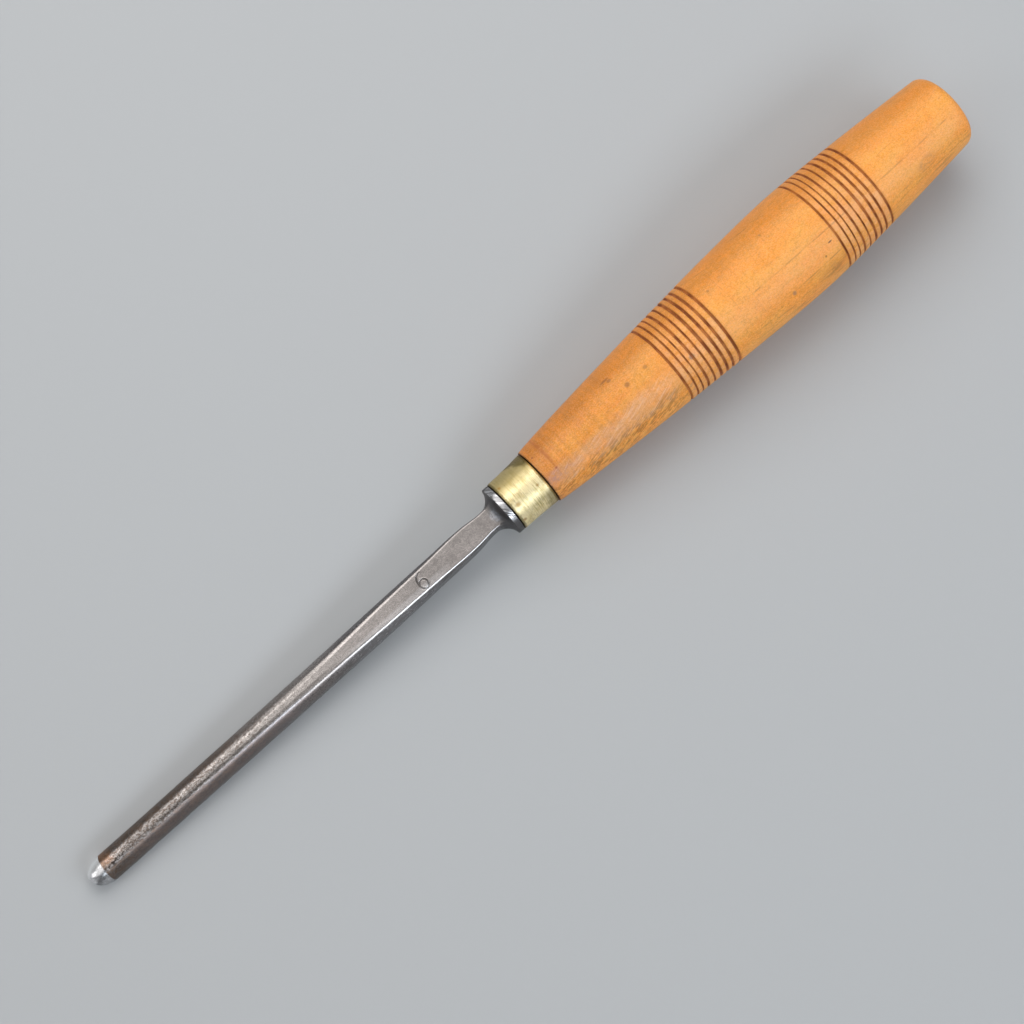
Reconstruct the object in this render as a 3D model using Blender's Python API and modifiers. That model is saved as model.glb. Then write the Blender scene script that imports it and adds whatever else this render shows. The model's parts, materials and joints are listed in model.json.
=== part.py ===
"""A straight carving gouge with a U-shaped channel: forged blade, brass ferrule and turned handle.

Every piece is modelled upright, in metres, with the tool's axis along Z: the keel of the cutting edge
is at z = 0 and the butt of the handle at the top. The channel opens towards +X, so the rounded back
faces -X. An empty then lays the tool channel down on the bench, where it rests on the two lips at its
nose and on the belly of its handle, with the origin below its middle.
"""

import math

import bmesh
import bpy
import numpy as np
from mathutils import Vector
from mathutils.geometry import interpolate_bezier

MM = 0.001
FIT_GAP = 0.3 * MM  # kept between pieces that touch

# Places along the tool, from the keel of the edge
OVERALL_LENGTH = 248.0 * MM
SHANK_END = 111.6 * MM
BOLSTER_FRONT = 115.8 * MM
BOLSTER_BACK = 117.2 * MM
FERRULE_LENGTH = 9.1 * MM
BELLY = 203.0 * MM

# Blade: heights from the tool's axis, and the channel
BACK_HEIGHT = 2.6 * MM
LIP_HEIGHT = 2.4 * MM
WALL = 1.05 * MM
KEEL_THICKNESS = 1.15 * MM
CHANNEL_END = 90.0 * MM
WHEEL_RADIUS = 150.0 * MM  # of the wheel that ground the channel, which shapes its run-out
RUN_OUT_HALF_WIDTH = 0.5 * MM
LIP_EDGE = 0.25 * MM  # eased outer edges of the lips and of the shank's underside

# Blade: place, full width and corner radius of the back at the sections that shape it
BLADE_SECTIONS = (
    (0.0 * MM, 6.16 * MM, 2.95 * MM),
    (30.0 * MM, 6.20 * MM, 2.95 * MM),
    (66.0 * MM, 6.43 * MM, 2.78 * MM),
    (82.0 * MM, 6.50 * MM, 2.15 * MM),
    (96.0 * MM, 6.24 * MM, 1.25 * MM),
    (107.5 * MM, 5.80 * MM, 0.60 * MM),
    (SHANK_END, 4.96 * MM, 0.45 * MM),
)

# Cutting edge: the nose slopes back from the keel, and the bevel is slightly rounded
NOSE_SLOPE = 0.45
HEEL = 3.7 * MM
HEEL_SLOPE = 0.35
BEVEL_ROUNDING = 2.0
BEVEL_STEPS = (0.0, 0.12, 0.3, 0.55, 0.8, 1.0)

# Bolster and tang
BOLSTER_RADIUS = 6.1 * MM
RIM_CHAMFER = 0.15 * MM
COVE_SWEEP = math.radians(80)
TANG_LENGTH = 48.0 * MM
TANG_ROOT = 5.0 * MM
TANG_POINT = 2.0 * MM
TANG_EDGE = 0.2 * MM

# Ferrule: a thin tube that opens slightly towards the handle
FERRULE_FRONT_RADIUS = 6.2 * MM
FERRULE_MIDDLE_RADIUS = 6.33 * MM
FERRULE_BACK_RADIUS = 6.52 * MM
FERRULE_BORE_RADIUS = 5.3 * MM
FERRULE_EDGE = 0.25 * MM

# Handle
HANDLE_FRONT_RADIUS = 6.8 * MM
BELLY_RADIUS = 11.8 * MM
BUTT_RADIUS = 9.2 * MM
BUTT_ROUNDING = 2.5 * MM
FRONT_SWELL = ((135.4 * MM, 8.1 * MM), (186.0 * MM, BELLY_RADIUS))
REAR_TAPER = ((206.0 * MM, BELLY_RADIUS), (212.5 * MM, 11.83 * MM))

# Grooves: two bands cut with the same comb, as steps from groove to groove and widths
GROOVE_BANDS = (162.7 * MM, 207.8 * MM)
GROOVE_STEPS = tuple(s * MM for s in (1.72, 1.39, 1.50, 1.75, 1.79, 1.72, 1.60, 1.90))
GROOVE_WIDTHS = tuple(w * MM for w in (0.7, 0.5, 0.45, 0.7, 0.5, 0.75, 0.65, 0.7, 0.8))
GROOVE_DEPTH_SHARE = 0.7  # of the groove's width

# Fineness
WALL_STEPS, CORNER_STEPS, BACK_STEPS = 3, 8, 2
SIDE_POINTS = 2 * (WALL_STEPS + CORNER_STEPS) + BACK_STEPS + 1
BLADE_STEP = 5.0 * MM
COVE_STEPS = 6
HANDLE_STEPS = 36
FERRULE_STEPS = 48
SHARP_ANGLE = math.radians(32)
MERGE = 1e-6

CHANNEL_DEPTH = BACK_HEIGHT + LIP_HEIGHT - KEEL_THICKNESS
NOSE_SETBACK = NOSE_SLOPE * CHANNEL_DEPTH
FERRULE_FRONT = BOLSTER_BACK + FIT_GAP
FERRULE_BACK = FERRULE_FRONT + FERRULE_LENGTH
SHOULDER = FERRULE_BACK + FIT_GAP


def clear_scene():
    """Removes what the scene holds, and gives collections for the pieces and the cutters."""
    for obj in list(bpy.data.objects):
        bpy.data.objects.remove(obj)
    collections = []
    for name in ("u_gouge", "u_gouge_cutters"):
        collection = bpy.data.collections.new(name)
        bpy.context.scene.collection.children.link(collection)
        collections.append(collection)
    return collections


def material(name, color, roughness, metallic):
    """A plain finish of one colour."""
    finish = bpy.data.materials.new(name)
    finish.use_nodes = True
    shader = finish.node_tree.nodes["Principled BSDF"]
    shader.inputs["Base Color"].default_value = (*color, 1)
    shader.inputs["Roughness"].default_value = roughness
    shader.inputs["Metallic"].default_value = metallic
    return finish


def add_object(name, mesh_builder, collection):
    """A mesh object of the shape that the bmesh holds."""
    mesh = bpy.data.meshes.new(name)
    mesh_builder.to_mesh(mesh)
    mesh_builder.free()
    obj = bpy.data.objects.new(name, mesh)
    collection.objects.link(obj)
    return obj


def smooth_value(place, places, values):
    """The value at a place on a smooth curve through the values, level at both ends."""
    slopes = np.gradient(values, places)
    slopes[[0, -1]] = 0
    i = int(np.clip(np.searchsorted(places, place) - 1, 0, len(places) - 2))
    span = places[i + 1] - places[i]
    t = float(np.clip((place - places[i]) / span, 0, 1))
    start = values[i] * (1 + 2 * t) + slopes[i] * span * t
    end = values[i + 1] * (3 - 2 * t) + slopes[i + 1] * span * (t - 1)
    return start * (1 - t) ** 2 + end * t**2


def arc(center, radius, start, end, steps):
    """Points on an arc, as pairs, from the start angle to the end angle."""
    angles = [start + (end - start) * i / steps for i in range(steps + 1)]
    return [(center[0] + radius * math.cos(a), center[1] + radius * math.sin(a)) for a in angles]


def turned(name, profile, steps, collection, closed=False):
    """A profile of (radius, height) pairs, running down its outer side, turned about the Z axis."""
    bm = bmesh.new()
    points = [bm.verts.new((radius, 0, height)) for radius, height in profile]
    for first, second in zip(points, points[1:]):
        bm.edges.new((first, second))
    if closed:
        bm.edges.new((points[-1], points[0]))
    obj = add_object(name, bm, collection)
    screw = obj.modifiers.new("turn", "SCREW")
    screw.axis = "Z"
    screw.steps = screw.render_steps = steps
    screw.use_merge_vertices = True
    screw.merge_threshold = MERGE
    screw.use_smooth_shade = True
    return obj


# Blade


def outer_side(width, corner):
    """One side to the other round the back: wall, rounded corner, flat back, corner and wall, as (x, y)."""
    half = width / 2
    lip = LIP_HEIGHT - LIP_EDGE
    shoulder = corner - BACK_HEIGHT
    wall = [(lip + (shoulder - lip) * i / WALL_STEPS, half) for i in range(WALL_STEPS)]
    bend = arc((shoulder, half - corner), corner, math.pi / 2, math.pi, CORNER_STEPS)
    side = wall + bend
    mirrored = [(x, -y) for x, y in side]
    return mirrored + [(-BACK_HEIGHT, 0.0)] + side[::-1]


def channel_side(half_width, depth):
    """The channel from the +Y lip to the -Y lip, a round bottom between straight walls, as (x, y)."""
    straight = max(depth - half_width, 0)
    sweep = math.acos(max(half_width - depth, 0) / half_width)
    length = straight + half_width * sweep
    middle = LIP_HEIGHT - depth + half_width
    points = []
    for step in range(SIDE_POINTS):
        along = length * (1 - 2 * step / (SIDE_POINTS - 1))
        angle = min(abs(along) / half_width, sweep)
        rise = max(abs(along) - half_width * sweep, 0)
        y = math.copysign(half_width * math.sin(angle), along)
        points.append((middle - half_width * math.cos(angle) + rise, y))
    return points


def flat_side(height, half_width):
    """The flat underside of the shank from +Y to -Y, as (x, y)."""
    steps = SIDE_POINTS - 1
    return [(height, half_width * (1 - 2 * step / steps)) for step in range(SIDE_POINTS)]


def outline(outer, lip, bottom):
    """A closed outline: the outer side, the eased edge at the +Y lip, the bottom and the other edge."""
    x, y = lip
    return outer + [lip] + bottom + [(x, -y)]


def channel_depth(z):
    """Full depth, then a run-out on the radius of the wheel, down to nothing at its end."""
    run_out = math.sqrt(WHEEL_RADIUS**2 - (WHEEL_RADIUS - CHANNEL_DEPTH) ** 2)
    into = max(z - (CHANNEL_END - run_out), 0)
    return CHANNEL_DEPTH - WHEEL_RADIUS + math.sqrt(WHEEL_RADIUS**2 - into**2)


def blade_section(z):
    """The outline of the blade at z, with its channel, or of the shank behind it."""
    places, widths, corners = (np.array(column) for column in zip(*BLADE_SECTIONS))
    width = smooth_value(z, places, widths)
    lip = (LIP_HEIGHT, width / 2 - LIP_EDGE)
    if z < CHANNEL_END:
        bottom = channel_side(width / 2 - WALL, channel_depth(z))
    else:
        share = (z - CHANNEL_END) / (SHANK_END - CHANNEL_END)
        bottom = flat_side(LIP_HEIGHT, RUN_OUT_HALF_WIDTH + (lip[1] - 2 * RUN_OUT_HALF_WIDTH) * share)
    return outline(outer_side(width, smooth_value(z, places, corners)), lip, bottom)


def square_section(half, edge):
    """A square outline with two eased edges, its points matched to those of the blade."""
    sides = 6 * half - 2 * edge
    outer = []
    for step in range(SIDE_POINTS):
        along = edge + sides * step / (SIDE_POINTS - 1)
        if along < 2 * half:
            outer.append((half - along, -half))
        elif along < 4 * half:
            outer.append((-half, along - 3 * half))
        else:
            outer.append((along - 5 * half, half))
    return outline(outer, (half, half - edge), flat_side(half, half - 2 * edge))


def round_section(radius):
    """A circle with its points matched to those of the blade: three quarters outer side, one underside."""
    quarter = math.radians(45)
    gap = math.radians(3)
    outer = arc((0, 0), radius, 2 * math.pi - quarter - gap, quarter + gap, SIDE_POINTS - 1)
    under = arc((0, 0), radius, quarter - gap, gap - quarter, SIDE_POINTS - 1)
    lip = (radius * math.cos(quarter), radius * math.sin(quarter))
    return outline(outer, lip, under)


def between(first, second, share):
    """An outline part way between two with matching points."""
    return [
        (x + (u - x) * share, y + (v - y) * share) for (x, y), (u, v) in zip(first, second)
    ]


def placed(outline, z):
    """The outline's points at one place along the tool."""
    return [Vector((x, y, z)) for x, y in outline]


def bevel_rings():
    """Rings of the ground nose: at the edge the outer side meets the channel, at the heel it is full size."""
    section = blade_section(HEEL)
    channel = section[SIDE_POINTS + 1 : -1]
    edge = outline(channel[::-1], channel[0], channel)
    keel = LIP_HEIGHT - CHANNEL_DEPTH
    setbacks = [NOSE_SLOPE * (x - keel) for x, _ in edge]
    rings = []
    for share in BEVEL_STEPS:
        ring = between(edge, section, 1 - (1 - share) ** BEVEL_ROUNDING)
        heights = [s + share * (HEEL + (HEEL_SLOPE - 1) * s) for s in setbacks]
        rings.append([Vector((x, y, z)) for (x, y), z in zip(ring, heights)])
    return rings


def blade_rings():
    """Every ring of the forging, from the cutting edge to the point of the tang."""
    rings = bevel_rings()
    first = HEEL * (1 + HEEL_SLOPE)
    steps = math.ceil((SHANK_END - first) / BLADE_STEP)
    places = [first + (SHANK_END - first) * i / steps for i in range(1, steps + 1)]
    places.append(CHANNEL_END)
    rings += [placed(blade_section(z), z) for z in sorted(places)]

    # The cove swells from the shank to the round bolster on an arc
    shank = blade_section(SHANK_END)
    rim = round_section(BOLSTER_RADIUS - RIM_CHAMFER)
    for step in range(1, COVE_STEPS + 1):
        angle = COVE_SWEEP * step / COVE_STEPS
        share = (1 - math.cos(angle)) / (1 - math.cos(COVE_SWEEP))
        along = math.sin(angle) / math.sin(COVE_SWEEP)
        rings.append(placed(between(shank, rim, share), SHANK_END + (BOLSTER_FRONT - SHANK_END) * along))
    full = round_section(BOLSTER_RADIUS)
    rings.append(placed(full, BOLSTER_FRONT + RIM_CHAMFER))
    rings.append(placed(full, BOLSTER_BACK - RIM_CHAMFER))
    rings.append(placed(rim, BOLSTER_BACK))

    # The tang is a square spike from the bolster's flat back
    rings.append(placed(square_section(TANG_ROOT / 2, TANG_EDGE), BOLSTER_BACK))
    rings.append(placed(square_section(TANG_POINT / 2, TANG_EDGE), BOLSTER_BACK + TANG_LENGTH))
    return rings


def make_blade(collection):
    """One forging lofted through its sections: cutting edge, channel, shank, bolster and tang."""
    bm = bmesh.new()
    rings = [[bm.verts.new(point) for point in ring] for ring in blade_rings()]
    for ring, following in zip(rings, rings[1:]):
        for i in range(len(ring)):
            bm.faces.new((ring[i - 1], ring[i], following[i], following[i - 1]))
    bm.faces.new(rings[-1])
    bmesh.ops.remove_doubles(bm, verts=bm.verts, dist=MERGE)
    bmesh.ops.recalc_face_normals(bm, faces=bm.faces)
    blade = add_object("blade", bm, collection)
    blade.data.shade_smooth()
    blade.data.set_sharp_from_angle(angle=SHARP_ANGLE)
    return blade


# Ferrule


def make_ferrule(collection):
    """A drawn brass tube with eased outer edges, slightly flared where it meets the handle."""
    back_edge = arc(
        (FERRULE_BACK_RADIUS - FERRULE_EDGE, FERRULE_BACK - FERRULE_EDGE), FERRULE_EDGE, math.pi / 2, 0, 3
    )
    front_edge = arc(
        (FERRULE_FRONT_RADIUS - FERRULE_EDGE, FERRULE_FRONT + FERRULE_EDGE), FERRULE_EDGE, 0, -math.pi / 2, 3
    )
    middle = (FERRULE_MIDDLE_RADIUS, FERRULE_FRONT + FERRULE_LENGTH * 0.65)
    bore = [(FERRULE_BORE_RADIUS, FERRULE_FRONT), (FERRULE_BORE_RADIUS, FERRULE_BACK)]
    profile = back_edge + [middle] + front_edge + bore
    return turned("ferrule", profile, FERRULE_STEPS, collection, closed=True)


# Handle


def handle_outline():
    """The handle's side without grooves, from shoulder to butt, as arrays of places and radii."""
    knots = ((SHOULDER, HANDLE_FRONT_RADIUS), (BELLY, BELLY_RADIUS), (OVERALL_LENGTH - BUTT_ROUNDING, BUTT_RADIUS))
    curve = []
    for start, handles, end in zip(knots, (FRONT_SWELL, REAR_TAPER), knots[1:]):
        curve += interpolate_bezier(*(Vector(p) for p in (start, *handles, end)), 64)
    return np.array([p.x for p in curve]), np.array([p.y for p in curve])


def grooves():
    """The place and width of every groove along the handle."""
    for start in GROOVE_BANDS:
        places = start + np.cumsum((0.0, *GROOVE_STEPS))
        yield from zip(places, GROOVE_WIDTHS)


def handle_side():
    """The handle's side from shoulder to butt with its grooves, as (radius, place) pairs."""
    places, radii = handle_outline()
    plain = np.linspace(places[0], places[-1], 26)
    near = [abs(plain - place) < width for place, width in grooves()]
    points = [(z, 0.0) for z in plain[~np.any(near, axis=0)]]
    for place, width in grooves():
        points += [(place - width / 2, 0.0), (place, width * GROOVE_DEPTH_SHARE), (place + width / 2, 0.0)]
    return [(float(np.interp(z, places, radii)) - depth, z) for z, depth in sorted(points)]


def make_handle(collection, cutters):
    """A turned handle with a spigot for the ferrule, two bands of grooves and a square hole for the tang."""
    side = handle_side()
    butt = arc(
        (BUTT_RADIUS - BUTT_ROUNDING, OVERALL_LENGTH - BUTT_ROUNDING), BUTT_ROUNDING, math.pi / 2, 0, 5
    )
    spigot = FERRULE_BORE_RADIUS - FIT_GAP
    front = [(spigot, SHOULDER), (spigot, FERRULE_FRONT), (0.0, FERRULE_FRONT)]
    profile = [(0.0, OVERALL_LENGTH)] + butt + side[-2::-1] + front
    handle = turned("handle", profile, HANDLE_STEPS, collection)

    # The tang's hole, a square taper with clearance all round
    bm = bmesh.new()
    depth = TANG_LENGTH + 2 * FIT_GAP
    bmesh.ops.create_cone(
        bm,
        cap_ends=True,
        segments=4,
        radius1=(TANG_ROOT / 2 + FIT_GAP) * math.sqrt(2),
        radius2=(TANG_POINT / 2 + FIT_GAP) * math.sqrt(2),
        depth=depth,
    )
    hole = add_object("tang_hole", bm, cutters)
    hole.location.z = BOLSTER_BACK + depth / 2
    hole.rotation_euler.z = math.radians(45)
    hole.hide_render = True
    hole.display_type = "WIRE"
    cut = handle.modifiers.new("tang_hole", "BOOLEAN")
    cut.operation = "DIFFERENCE"
    cut.solver = "EXACT"
    cut.object = hole
    return handle, hole


def bench_empty(collection):
    """An empty that lays the tool down, touching the bench with its lips and with its belly."""
    places, radii = handle_outline()
    tilt = float(np.max(np.arctan2(radii - LIP_HEIGHT, places - NOSE_SETBACK)))
    empty = bpy.data.objects.new("bench", None)
    collection.objects.link(empty)
    empty.rotation_euler.y = math.pi / 2 - tilt
    empty.location.x = -OVERALL_LENGTH / 2 * math.cos(tilt)
    empty.location.z = LIP_HEIGHT * math.cos(tilt) - NOSE_SETBACK * math.sin(tilt)
    return empty


def main():
    pieces, cutters = clear_scene()
    blade = make_blade(pieces)
    ferrule = make_ferrule(pieces)
    handle, hole = make_handle(pieces, cutters)
    blade.data.materials.append(material("worn_tool_steel", (0.20, 0.19, 0.18), 0.38, 1.0))
    ferrule.data.materials.append(material("brass", (0.62, 0.44, 0.14), 0.34, 1.0))
    handle.data.materials.append(material("boxwood", (0.72, 0.33, 0.08), 0.42, 0.0))
    bench = bench_empty(pieces)
    for obj in (blade, ferrule, handle, hole):
        obj.parent = bench


main()
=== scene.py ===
"""The looks of a U gouge: a forged steel blade, a brass ferrule and a turned boxwood handle on a pale floor.

Sizes are in millimetres in the tool's own coordinates: along the tool from the keel of the cutting edge,
across it, and up from its axis towards the back of the blade. ToolAxis turns them into metres of the frame.
Angles round the tool are counted from up, towards the side that faces -Y.
"""

from __future__ import annotations

import json
import logging
import math
from dataclasses import dataclass, field
from enum import Enum, IntEnum
from typing import Any

import bpy
import numpy as np
from mathutils import Matrix, Vector
from numpy.typing import NDArray


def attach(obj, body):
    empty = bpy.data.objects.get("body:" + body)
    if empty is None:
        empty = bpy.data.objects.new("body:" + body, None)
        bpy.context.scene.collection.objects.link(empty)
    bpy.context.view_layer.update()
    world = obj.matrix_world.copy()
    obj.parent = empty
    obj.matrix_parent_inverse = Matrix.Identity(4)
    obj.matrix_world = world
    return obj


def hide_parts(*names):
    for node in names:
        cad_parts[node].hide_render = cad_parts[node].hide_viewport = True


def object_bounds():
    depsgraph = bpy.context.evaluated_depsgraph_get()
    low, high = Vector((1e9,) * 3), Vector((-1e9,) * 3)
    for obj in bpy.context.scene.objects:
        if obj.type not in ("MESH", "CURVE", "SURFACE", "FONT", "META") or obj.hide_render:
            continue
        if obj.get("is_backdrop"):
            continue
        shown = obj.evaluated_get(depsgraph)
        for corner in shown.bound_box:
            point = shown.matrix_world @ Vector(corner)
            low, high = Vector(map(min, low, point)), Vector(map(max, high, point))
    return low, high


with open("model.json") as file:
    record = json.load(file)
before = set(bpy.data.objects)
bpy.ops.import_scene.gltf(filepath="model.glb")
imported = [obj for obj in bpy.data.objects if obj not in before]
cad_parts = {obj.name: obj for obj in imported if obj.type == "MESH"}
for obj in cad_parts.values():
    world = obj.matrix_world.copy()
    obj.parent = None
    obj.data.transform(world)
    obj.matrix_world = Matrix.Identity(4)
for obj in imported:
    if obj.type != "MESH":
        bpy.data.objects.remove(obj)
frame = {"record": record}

Array = NDArray[np.float64]
Color = tuple[float, float, float]
Pair = tuple[float, float]

MM = 0.001
ACROSS = np.array([0.0, 1.0, 0.0])
BODY = "root"
OVERALL_LENGTH = 248.0
BACK_HEIGHT = 2.6
FERRULE_FRONT = 117.38
FERRULE_BACK = 126.74
HANDLE_SHOULDER = 126.9
BRASS_RUST = (0.42, 0.22, 0.05)
SHARP_ANGLE = math.radians(38)
LATTICE = 256

log = logging.getLogger("u_gouge")


class Slot(Enum):
    """Material slots of the record."""

    TOOL_STEEL = "tool_steel"
    BRASS = "brass"
    BOXWOOD = "boxwood"


class End(Enum):
    """How the first or last ring of a tube is closed."""

    CAP = "a fan of triangles to the middle of the ring"
    FOLD = "the two halves of the ring are one line"
    LOOP = "the last ring joins the first"


class Seed(IntEnum):
    """Seeds of the smooth noises on the surfaces."""

    FORGING = 4
    FORGING_FINE = 5
    DENT = 21
    DENT_FINE = 22
    GROOVE_PLACE = 31
    GROOVE_DEPTH = 32
    SCRIBED_RING = 33
    WEAR = 34
    SCORCH = 35


@dataclass(frozen=True)
class ToolAxis:
    """Where the tool lies in the frame.

    Attributes:
        origin: The point of the axis level with the keel of the edge, in metres.
        along: Direction from edge to butt.
        up: Direction from the axis to the back of the blade.
    """

    origin: Array
    along: Array
    up: Array

    @classmethod
    def from_record(cls, record: dict[str, Any]) -> ToolAxis:
        """Finds the axis from the flat butt and the flat of the shank.

        Args:
            record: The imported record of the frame.

        Returns:
            The axis of the tool.
        """
        mounts = {mount["name"]: mount for mount in record["mounts"]}
        names = ("butt_end", "shank_flat")
        butt, shank = (np.array(mounts[name]["pos_m"]) for name in names)
        along, up = (np.array(mounts[name]["axis"]) / np.linalg.norm(mounts[name]["axis"]) for name in names)
        on_axis = shank - up * BACK_HEIGHT * MM
        on_axis[1] = 0.0
        reach = OVERALL_LENGTH * MM + (on_axis - butt) @ along
        return cls(on_axis - along * reach, along, up)

    @property
    def tilt(self) -> float:
        """How far the axis rises towards the butt, in radians."""
        return math.atan2(self.along[2], self.along[0])

    def place(self, along: Array, across: Array, up: Array) -> Array:
        """Turns tool coordinates in millimetres into frame coordinates in metres.

        Args:
            along: Places along the tool.
            across: Offsets across it.
            up: Heights above its axis.

        Returns:
            Points with their three coordinates in the last axis.
        """
        terms = zip(np.broadcast_arrays(along, across, up), (self.along, ACROSS, self.up))
        return self.origin + sum(values[..., None] * MM * direction for values, direction in terms)


def smoothstep(values: Array, low: float, high: float) -> Array:
    """A soft step from 0 at low to 1 at high."""
    share = np.clip((values - low) / (high - low), 0, 1)
    return share * share * (3 - 2 * share)


def ripple(first: Array, second: Array, seed: Seed, period: int = LATTICE) -> Array:
    """Smooth noise between -1 and 1 over two coordinates.

    Random values sit on a lattice with a spacing of one, and soft steps blend the four round each point.

    Args:
        first: First coordinate.
        second: Second coordinate, which repeats after the period.
        seed: Seed of the random values.
        period: Number of lattice steps after which the second coordinate repeats.

    Returns:
        The noise at each point.
    """
    first, second = np.broadcast_arrays(first, second)
    table = np.random.default_rng(seed).uniform(-1, 1, (LATTICE, period))
    row, column = np.floor(first).astype(int), np.floor(second).astype(int)
    downward, rightward = smoothstep(first - row, 0, 1), smoothstep(second - column, 0, 1)

    def at(down: int, right: int) -> Array:
        """The lattice value at a corner."""
        return table[(row + down) % LATTICE, (column + right) % period]

    upper = at(0, 0) * (1 - rightward) + at(0, 1) * rightward
    lower = at(1, 0) * (1 - rightward) + at(1, 1) * rightward
    return upper * (1 - downward) + lower * downward


def smooth_curve(places: Array, knots: Array, values: Array) -> Array:
    """Values on a smooth cubic curve through the knots, level at both ends.

    Args:
        places: Where the curve is read.
        knots: Places of the known values, in order.
        values: The known values.

    Returns:
        One value for each place.
    """
    slopes = np.gradient(values, knots)
    slopes[[0, -1]] = 0
    here = np.clip(np.searchsorted(knots, places) - 1, 0, len(knots) - 2)
    span = knots[here + 1] - knots[here]
    share = np.clip((places - knots[here]) / span, 0, 1)
    start = values[here] * (1 + 2 * share) + slopes[here] * span * share
    end = values[here + 1] * (3 - 2 * share) + slopes[here + 1] * span * (share - 1)
    return start * (1 - share) ** 2 + end * share**2


def bezier(points: Array, steps: int) -> Array:
    """Points on a cubic Bezier curve.

    Args:
        points: Its four control points, one row each.
        steps: Number of steps along it.

    Returns:
        The points, one row each.
    """
    share = np.linspace(0, 1, steps + 1)[:, None]
    rest = 1 - share
    return (
        rest**3 * points[0]
        + 3 * rest**2 * share * points[1]
        + 3 * rest * share**2 * points[2]
        + share**3 * points[3]
    )


def quarter(center: Pair, radius: float, start: float, end: float, steps: int) -> Array:
    """Points on an arc about a center, one row each, from a start to an end angle in degrees."""
    angles = np.radians(np.linspace(start, end, steps + 1))
    return np.stack([center[0] + radius * np.cos(angles), center[1] + radius * np.sin(angles)], -1)


def add(name: str, data: bpy.types.ID) -> bpy.types.Object:
    """Adds an object to the scene.

    Args:
        name: Its name.
        data: Its mesh, light or camera.

    Returns:
        The linked object.
    """
    obj = bpy.data.objects.new(name, data)
    bpy.context.scene.collection.objects.link(obj)
    return obj


def tube(
    name: str, points: Array, first: End, last: End, marks: dict[str, Array] | None = None
) -> bpy.types.Object:
    """A closed mesh object from a grid of rings.

    Each cell of the grid becomes a face between neighbours along and round the tube, and each end is closed.
    Faces are turned outward by the sign of the volume they enclose.

    Args:
        name: Name of the object.
        points: Grid of points in metres, with rings in the first axis and points round a ring in the second.
        first: How the first ring is closed.
        last: How the last ring is closed.
        marks: Values for each point of the grid, kept as attributes that materials read.

    Returns:
        The linked object.
    """
    rings, around, _ = points.shape
    index = np.arange(rings * around).reshape(rings, around)
    if first is End.FOLD:
        index[0, around // 2 :] = index[0, : around // 2][::-1]
    if first is End.LOOP:
        index = np.vstack([index, index[:1]])
    beside = np.roll(index, -1, axis=1)
    quads = np.stack([index[:-1], beside[:-1], beside[1:], index[1:]], -1).reshape(-1, 4)
    folded = quads[:, 0] == quads[:, 1]
    triangles = [quads[folded][:, 1:]]
    quads = quads[~folded]
    vertices = [points.reshape(-1, 3)]
    values = {key: [grid.reshape(-1)] for key, grid in (marks or {}).items()}
    count = rings * around
    for end, ring, turn in ((first, 0, -1), (last, rings - 1, 1)):
        if end is not End.CAP:
            continue
        middle = np.full(around, count)
        triangles.append(np.stack([index[ring], beside[ring], middle], -1)[:, ::turn])
        vertices.append(points[ring].mean(axis=0, keepdims=True))
        for key, grid in (marks or {}).items():
            values[key].append(grid[ring].mean(keepdims=True))
        count += 1
    corners = np.vstack(vertices)
    fans = np.vstack(triangles)
    halves = np.vstack([fans, quads[:, [0, 1, 2]], quads[:, [0, 2, 3]]])
    one, two, three = (corners[halves[:, i]] for i in range(3))
    if np.einsum("ij,ij->", one, np.cross(two, three)) < 0:
        quads, fans = quads[:, ::-1], fans[:, ::-1]
    used = np.unique(np.concatenate([quads.ravel(), fans.ravel()]))
    renumber = np.zeros(len(corners), int)
    renumber[used] = np.arange(len(used))
    mesh = bpy.data.meshes.new(name)
    mesh.from_pydata(corners[used].tolist(), [], renumber[quads].tolist() + renumber[fans].tolist())
    for key, grids in values.items():
        attribute = mesh.attributes.new(key, "FLOAT", "POINT")
        attribute.data.foreach_set("value", np.concatenate(grids)[used].astype(np.float32))
    mesh.shade_smooth()
    mesh.set_sharp_from_angle(angle=SHARP_ANGLE)
    log.info("%s: %d vertices, %d faces", name, len(mesh.vertices), len(mesh.polygons))
    return add(name, mesh)


class Socket:
    """An output of a node, with arithmetic that adds Math nodes."""

    def __init__(self, graph: Graph, output: bpy.types.NodeSocket) -> None:
        """Wraps an output of one of the graph's nodes."""
        self.graph = graph
        self.output = output

    def __add__(self, other: Input) -> Socket:
        """Sum."""
        return self.graph.math("ADD", self, other)

    def __sub__(self, other: Input) -> Socket:
        """Difference."""
        return self.graph.math("SUBTRACT", self, other)

    def __rsub__(self, other: Input) -> Socket:
        """Difference from a number."""
        return self.graph.math("SUBTRACT", other, self)

    def __mul__(self, other: Input) -> Socket:
        """Product."""
        return self.graph.math("MULTIPLY", self, other)

    def __truediv__(self, other: Input) -> Socket:
        """Quotient."""
        return self.graph.math("DIVIDE", self, other)

    def __rtruediv__(self, other: Input) -> Socket:
        """Quotient of a number."""
        return self.graph.math("DIVIDE", other, self)

    def __neg__(self) -> Socket:
        """Opposite."""
        return self.graph.math("MULTIPLY", self, -1.0)

    def __abs__(self) -> Socket:
        """Size without sign."""
        return self.graph.math("ABSOLUTE", self)

    __radd__ = __add__
    __rmul__ = __mul__


Input = Socket | float | tuple[float, ...]


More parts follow.
